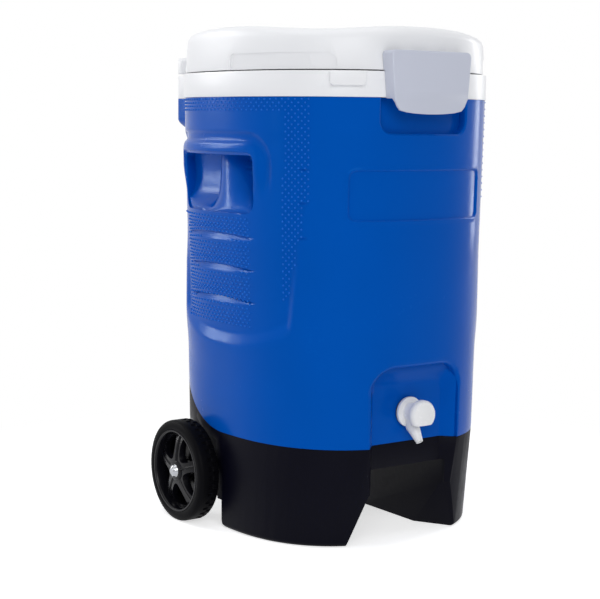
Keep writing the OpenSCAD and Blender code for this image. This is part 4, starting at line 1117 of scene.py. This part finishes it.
@dataclass
class Wheels:
    """Both wheels, with their spoked rims and their tyres."""

    axle_y: float = 61.0
    axle_z: float = 63.0
    face: float = 192.0
    wide: float = 28.7
    tyre_r: float = 63.0
    rim_r: float = 51.2
    bore_r: float = 5.15
    spokes: int = 5
    lugs: int = 36
    lug_gap: float = 0.34
    lug_deep: float = 1.5
    tread_steps: int = 288
    hole_steps: int = 40

    def turned(self, name: str, profile: Sequence, close: bool = True) -> Obj:
        """Spins a profile of (radius, how far inwards of the outer face) round the left axle."""
        points = [(r, -self.face + deep) for r, deep in profile]
        return Bench.lathe(name, points, (0, self.axle_y, self.axle_z), Axis.X, 120, close)

    def tyre(self) -> Obj:
        """The left tyre, with small lugs on the inner half of its tread."""
        w, r, inner = self.wide, self.tyre_r, self.rim_r + 0.2
        profile = [(inner, 0.6), (52.4, 0.0), (56.0, 0.0), (59.4, 0.7), (61.6, 2.0), (62.6, 3.8), (r, 6.0),
                   (r, 12.0), (r, 13.0), (r, 18.0), (r, 19.0), (r, 24.0), (62.4, 25.6), (61.2, w - 1.6),
                   (59.0, w - 0.6), (56.0, w), (52.4, w), (inner, w - 0.6), (inner, 0.6)]
        turns = np.linspace(0, TURN, self.tread_steps, endpoint=False)
        table = []
        for radius, deep in profile:
            gap = ((turns * self.lugs / TURN + (0.5 if deep > 18.5 else 0.0)) % 1.0) < self.lug_gap
            reach = radius - self.lug_deep * gap * (12.5 < deep < 27.0)
            table.append(self.ring(deep, reach * np.sin(turns), reach * np.cos(turns)))
        return Bench.sheet("tyre_left_visual", table, caps=False)

    def ring(self, deep: float, y: Array, z: Array) -> Array:
        """Points about the left axle, so far inwards of the wheel's outer face."""
        return in_plane(np.stack([self.axle_y + y, self.axle_z + z], axis=1), Axis.X, deep - self.face)

    def hole(self) -> Obj:
        """What is cut between two spokes of the left rim, with a wider mouth."""
        turn = np.linspace(0, TURN, self.hole_steps, endpoint=False)
        table = []
        for deep, wide in ((-4.0, 4.5), (5.0, 1.6), (8.5, 0.4), (10.0, 0.0), (self.wide + 6.0, 0.0)):
            radius = 31.4 + (12.6 + wide) * curve(np.cos(turn))
            table.append(self.ring(deep, (0.628 * radius - 6.4 + wide) * curve(np.sin(turn)), radius))
        return Bench.sheet("cutter", table)

    def ridge(self) -> Obj:
        """The ridge along one spoke."""
        table = []
        for r, half, deep in ((11.0, 2.2, 0.6), (20.0, 1.5, 1.2), (30.0, 1.2, 2.8), (40.0, 1.2, 5.4),
                              (47.0, 1.6, 8.4)):
            table.append([(deep - self.face + back, self.axle_y + y, self.axle_z + r)
                          for back, y in ((4.0, -half - 1.5), (0.0, -half * 0.4), (0.0, half * 0.4),
                                          (4.0, half + 1.5))])
        return Bench.sheet("ridge", table)

    def round_axle(self, first: Obj, start: float = 0.0) -> list:
        """A copy of a piece for each spoke, the first one turned by so many degrees."""
        middle = Vector((0, self.axle_y, self.axle_z)) * MM
        made = []
        for k in range(self.spokes):
            turn = Matrix.Rotation(math.radians(start) + TURN * k / self.spokes, 4, "X")
            made.append(Bench.twin(first, f"{first.name}_{k}",
                                   Matrix.Translation(middle) @ turn @ Matrix.Translation(-middle)))
        bpy.data.objects.remove(first)
        return made

    def rim(self) -> Obj:
        """The left rim: a dished web with five spokes between five holes."""
        w = self.wide
        ring = self.turned("rim_left_visual", [
            (self.rim_r, 0.9), (50.8, 0.2), (50.0, 0.0), (48.8, 0.3), (48.0, 1.2), (47.6, 2.6), (46.4, 8.0),
            (45.4, 14.0), (45.0, w - 6.0), (46.6, w), (self.rim_r, w)])
        web = self.turned("web", [
            (5.0, 2.4), (15.0, 2.6), (22.0, 3.2), (32.0, 5.0), (40.0, 7.6), (47.0, 11.0),
            (47.0, 17.5), (40.0, 14.5), (32.0, 12.5), (22.0, 11.5), (15.0, 11.5), (5.0, 11.5)])
        Bench.combine(web, self.round_axle(self.hole(), 36.0), How.CUT)
        bowl = self.turned("bowl", [(5.0, 19.0), (14.0, 19.0), (26.0, 20.5), (38.0, 23.0), (46.0, w - 2.6),
                                    (46.0, w - 1.0), (26.0, 22.5), (5.0, 21.5)])
        hub = self.turned("hub", [(5.0, 0.4), (10.5, 0.4), (12.0, 0.8), (13.0, 1.8), (14.0, 6.0), (14.0, w),
                                  (5.0, w)])
        Bench.combine(ring, [web, bowl, hub, *self.round_axle(self.ridge())], How.ADD)
        bore = self.turned("cutter", [(0.0, -5.0), (self.bore_r, -5.0), (self.bore_r, w + 5.0),
                                      (0.0, w + 5.0)], False)
        return Bench.combine(ring, [bore], How.CUT)

    def build(self, finishes: Finishes) -> None:
        """Builds both wheels."""
        for kind, part, slot in (("tyre", self.tyre(), "tyre_black"), ("rim", self.rim(), "wheel_black")):
            Bench.smooth(part, 32)
            other = Bench.twin(part, kind + "_right_visual", MIRROR)
            finishes.finish(part, slot, "wheel_left", kind + "_left")
            finishes.finish(other, slot, "wheel_right", kind + "_right")


@dataclass
class Latch:
    """The grey latch: a face with flanks, and a plate below that the fingers pull."""

    middle: float = -5.0
    half: float = 58.5
    top: float = 577.0
    front: float = 198.0
    step: float = 523.0
    low: float = 505.7
    wall: float = 3.0
    soft: float = 0.6
    collar_half: tuple = (169.5, 187.5)
    lid_half: tuple = (166.6, 186.0)
    lid_low: float = 554.4

    def outline(self, inset: float) -> list:
        """The latch from the front, drawn in by inset."""
        half, low_half, lip = self.half - inset, 54.5 - inset, 41.0 - inset
        up, down = self.top - inset, self.low + inset
        side = [(lip + 4.5, down + 4.0), (lip + 9.0, down + 9.0), (lip + 11.6, down + 14.5),
                (low_half, self.step + 1)]
        line = [(lip * k, down + 2.6 * k * k) for k in np.linspace(-0.85, 0.85, 9)] + side
        line += corner(half - 6.5, up - 6.5, 6.5, 3, 6) + corner(-half + 5.0, up - 5.0, 5.0, 87, 6)
        line += [(-x, z) for x, z in reversed(side)]
        return [(x + self.middle, z) for x, z in line]

    def front_slab(self, points: Sequence) -> Obj:
        """A cutter right across the front from its outline seen from the side."""
        return Bench.slab("cutter", in_plane(points, Axis.X, -90.0), (180.0, 0, 0))

    def build(self, finishes: Finishes) -> None:
        """Builds the latch over the hooks and bosses of its fixed node."""
        rings = [(-176.0, 0.0), (1.4 - self.front, 0.0), (0.8 - self.front, 0.2), (0.3 - self.front, 0.8),
                 (-self.front, 2.2)]
        latch = Bench.sheet("latch_visual", [in_plane(self.outline(inset), Axis.Y, y) for y, inset in rings])
        inner = Bench.sheet("cutter", [in_plane(self.outline(self.wall), Axis.Y, y)
                                        for y in (-150.0, self.wall - self.front)])
        face = 3.2 - self.front
        below = self.front_slab([(-150.0, self.step), (-150.0, 480.0), (face + 0.6, 480.0),
                                 (face + 0.6, self.step - 5.0), (face + 3.0, self.step)])
        crease = self.front_slab([(-202.0, 535.0), (-202.0, 490.0), (1.9 - self.front, 490.0),
                                  (-self.front - 0.1, 535.0)])
        open_top = Bench.box("cutter", (self.middle - self.half + self.wall, face, 570.0),
                             (self.middle + self.half - self.wall, -150.0, 590.0))
        turns = np.linspace(0, TURN, 160, endpoint=False)
        back = Bench.sheet("cutter", [level_ring(*half, turns, z) for half, z in (
            (self.collar_half, 480.0), (self.collar_half, self.lid_low),
            (self.lid_half, self.lid_low + 0.01), (self.lid_half, 600.0))])
        Bench.combine(latch, [inner, below, crease, open_top, back], How.CUT)
        hooks = Bench.from_node("latch", "hooks")
        room = Bench.box("cutter", (-46.0, face - 1.0, 525.0), (46.0, -150.0, 573.0))
        Bench.combine(hooks, [room], How.KEEP)
        Bench.combine(latch, [hooks], How.ADD)
        Bench.soften(latch, self.soft)
        Bench.smooth(latch, 30)
        finishes.finish(latch, "latch_grey", "latch", "latch")


@dataclass
class Lid:
    """The lid's outer shell, with its finger recesses."""

    half_x: float = 166.0
    half_y: float = 185.5
    fuller: float = 0.62
    recess_deep: float = 2.3
    recess_low: tuple = (-155.0, 540.0)
    recess_high: tuple = (-18.0, 573.5)
    soft: float = 0.8

    def recess(self, side: int) -> Obj:
        """What is cut out of one side for the fingers."""
        flat = plate(*self.recess_low, *self.recess_high, 3.0, 10.0)
        block = Bench.slab("cutter", in_plane(flat, Axis.X, side * 100.0), (side * 130.0, 0, 0))
        turns = np.linspace(0, TURN, 200, endpoint=False)
        ring = level_ring(self.half_x - self.recess_deep, self.half_y - self.recess_deep, turns, 530.0)
        core = Bench.slab("cutter", ring, (0, 0, 60.0))
        return Bench.combine(block, [core], How.CUT)

    def build(self, finishes: Finishes) -> None:
        """Builds the shell on its fixed node, with a fuller shoulder at the sides."""
        lid = Bench.from_node("lid_top", "lid_top_visual")
        at = np.zeros(len(lid.data.vertices) * 3, np.float32)
        lid.data.vertices.foreach_get("co", at)
        x, y, z = (at.reshape(-1, 3) / MM).T
        power = 2 / PLAN_POWER
        level = (np.abs(x / self.half_x) ** power + np.abs(y / self.half_y) ** power) ** (1 / power)
        away = np.clip(1 - level, 0, 1)
        wanted = ease((z - 566.0) / 8.0) * (1 - ease((away - 0.16) / 0.16)) * ease((np.abs(x) - 70.0) / 40.0)
        grow = self.fuller * wanted * np.clip(away - 0.012, 0, 0.12) * rise(y, -60.0, 120.0) * (y < 163.0)
        x = x * (1 + grow / np.maximum(level, 0.3))
        Bench.shape(lid, np.stack([x, y, z], axis=1), lid.name)
        Bench.combine(lid, [self.recess(-1), self.recess(1)], How.CUT)
        Bench.soften(lid, self.soft)
        Bench.smooth(lid, 32)
        finishes.finish(lid, "lid_white", "lid", "lid_top")


@dataclass
class Collar:
    """The white collar, with the lug beside the latch."""

    lug_x: float = -100.8
    lug_y: float = -164.5
    lug_turn: float = 31.7
    lug_half: float = 20.5
    lug_z: tuple = (537.0, 553.4)
    proud: float = 5.0
    sunk: float = 5.0
    soft: float = 1.2

    def lug(self) -> Obj:
        """The lug that the fingers meet under the lid."""
        turn = math.radians(self.lug_turn)
        out = Vector((-math.sin(turn), -math.cos(turn), 0))
        along = Vector((math.cos(turn), -math.sin(turn), 0))
        start = Vector((self.lug_x, self.lug_y, 0)) - out * self.sunk
        low, high = self.lug_z
        flat = plate(-self.lug_half, low, self.lug_half, high, 5.0, 0.6, 5)
        block = Bench.slab("lug", [start + along * a + Vector((0, 0, b)) for a, b in flat],
                           out * (self.sunk + self.proud))
        Bench.soften(block, self.soft, 3, 60)
        return block

    def build(self, finishes: Finishes) -> None:
        """Builds the collar on its fixed node."""
        collar = Bench.from_node("collar", "collar_visual")
        Bench.soften(collar, self.soft, angle=45)
        Bench.combine(collar, [self.lug()], How.ADD)
        Bench.smooth(collar, 38)
        finishes.finish(collar, "lid_white", "body", "collar")


@dataclass
class Base:
    """The black base, with a rounded lower edge."""

    round_r: float = 6.0
    play: float = 0.02
    soft: float = 0.8

    def envelope(self) -> Obj:
        """A body that the base is kept inside of: its plan, drawn in towards the floor."""
        turns = turns_for(*FOOT, (0.0, 1.0, 6.0))
        levels = [(self.round_r * (1 - math.cos(a)), self.play - self.round_r * (1 - math.sin(a)))
                  for a in np.linspace(0, math.pi / 2, 7)] + [(BASE_H, 1.0), (260.0, 1.0)]
        table = []
        for z, more in levels:
            half_x, half_y = drum_half(z)
            table.append(level_ring(half_x + more, half_y + more, turns, z))
        body = Bench.sheet("envelope", table)
        return Bench.combine(body, [Bench.box("cutter", (-200.0, 0.0, -5.0), (200.0, 230.0, 300.0))], How.ADD)

    def build(self, finishes: Finishes) -> None:
        """Builds the base on its fixed node."""
        base = Bench.from_node("base", "base_visual")
        Bench.combine(base, [self.envelope()], How.KEEP)
        Bench.soften(base, self.soft)
        Bench.smooth(base, 32)
        finishes.finish(base, "base_black", "body", "base")


@dataclass(frozen=True)
class Studio:
    """Floor, lights and camera; each lamp has its name, place, width, height and watts."""

    eye: tuple = (-1100.4, -1483.3, 495.4)
    ahead: tuple = (0.5793, 0.8151)
    pitch: float = 6.9
    roll: float = 0.62
    lens: float = 87.92
    aim: tuple = (0.0, 0.0, 0.3)
    floor_glow: tuple = (0.12, 0.6)
    far_off: tuple = (0.3, 0.7)
    sky: tuple = (0.9, 0.93, 1.0, 1.0)
    sky_strength: float = 0.26
    lamps: tuple = (
        ("back_left", (-1.7, 2.6, 1.5), 0.3, 2.0, 28.0),
        ("back", (-1.1, 2.7, 1.62), 0.8, 0.35, 9.0),
        ("left", (-2.8, 0.5, 1.2), 0.4, 1.8, 4.0),
        ("front", (-1.6, -2.8, 1.9), 2.4, 1.6, 46.0),
        ("right", (2.6, 0.1, 0.9), 0.5, 1.6, 16.0),
        ("top", (0.0, 0.0, 2.6), 2.2, 2.2, 22.0))

    def floor(self) -> None:
        """A pale floor."""
        Bench.clear()
        bpy.ops.mesh.primitive_plane_add(size=30)
        plane = bpy.context.object
        plane.name = "floor"
        sheet = Sheet("floor_white")
        plain = {"Base Color": (0.9, 0.9, 0.9, 1.0), "Roughness": 0.9, "Specular IOR Level": 0.1,
                 "Emission Color": WHITE}
        dull, near = (sheet.node("ShaderNodeBsdfPrincipled", None, {**plain, "Emission Strength": glow})
                      for glow in self.floor_glow)
        far = sheet.node("ShaderNodeEmission", None, {"Color": WHITE, "Strength": 1.0})
        apart = sheet.node("ShaderNodeVectorMath", {"operation": "LENGTH"}, {0: sheet.place()})
        shown = sheet.mix(apart.ramp(*self.far_off), near, far)
        plane.data.materials.append(sheet.close(sheet.mix(sheet.direct(), dull, shown)))

    def world(self) -> None:
        """White behind everything, softer as a light."""
        sheet = Sheet("studio", "World")
        grey, white = (sheet.node("ShaderNodeBackground", None, {"Color": colour, "Strength": strength})
                       for colour, strength in ((self.sky, self.sky_strength), (WHITE, 1.0)))
        bpy.context.scene.world = sheet.close(sheet.mix(sheet.direct(), grey, white))

    def lamp(self, name: str, place: Sequence, wide: float, tall: float, watts: float) -> None:
        """A soft lamp, wide by tall metres, that faces the cooler's middle."""
        Bench.clear()
        bpy.ops.object.light_add(type="AREA", location=place)
        lamp = bpy.context.object
        lamp.name = name
        lamp.data.shape = "RECTANGLE"
        lamp.data.size = wide
        lamp.data.size_y = tall
        lamp.data.energy = watts
        lamp.rotation_euler = (Vector(place) - Vector(self.aim)).to_track_quat("Z", "Y").to_euler()

    def camera(self) -> None:
        """The camera."""
        low = math.radians(self.pitch)
        flat = Vector((*self.ahead, 0)).normalized()
        front = Vector((flat.x * math.cos(low), flat.y * math.cos(low), -math.sin(low)))
        right = Vector((flat.y, -flat.x, 0))
        up = right.cross(front)
        turn = math.radians(self.roll)
        right, up = (right * math.cos(turn) + up * math.sin(turn),
                     up * math.cos(turn) - right * math.sin(turn))
        data = bpy.data.cameras.new("camera")
        data.lens = self.lens
        data.sensor_width = 36.0
        made = bpy.data.objects.new("camera", data)
        bpy.context.scene.collection.objects.link(made)
        rows = Matrix((right, up, -front)).transposed().to_4x4()
        made.matrix_world = Matrix.Translation(Vector(self.eye) * MM) @ rows
        bpy.context.scene.camera = made

    def build(self) -> None:
        """Sets the studio up."""
        self.floor()
        self.world()
        for lamp in self.lamps:
            self.lamp(*lamp)
        self.camera()
        bpy.context.scene.view_settings.view_transform = "Standard"


def main() -> None:
    """Builds the cooler and its studio."""
    logging.basicConfig(level=logging.INFO, format="%(message)s")
    finishes = Finishes()
    drum = Drum()
    drum.build(finishes)
    drum.foam(finishes)
    Wheels().build(finishes)
    Latch().build(finishes)
    Lid().build(finishes)
    Collar().build(finishes)
    Base().build(finishes)
    for node, width, slot, body in (("handle_grip", 1.0, "lid_white", "tow_handle"),
                                    ("spigot_body", 0.5, "tap_white", "body"),
                                    ("spigot_button", 0.5, "tap_white", "tap_button")):
        finishes.finish(softened(node, width), slot, body, node)
    slots = {part["node"]: part["material_slot"] for part in frame["record"]["subparts"]}
    for name, node in frame["nodes"].items():
        finishes.dress(node, slots[name])
    Studio().build()


if __name__ == "__main__":
    main()
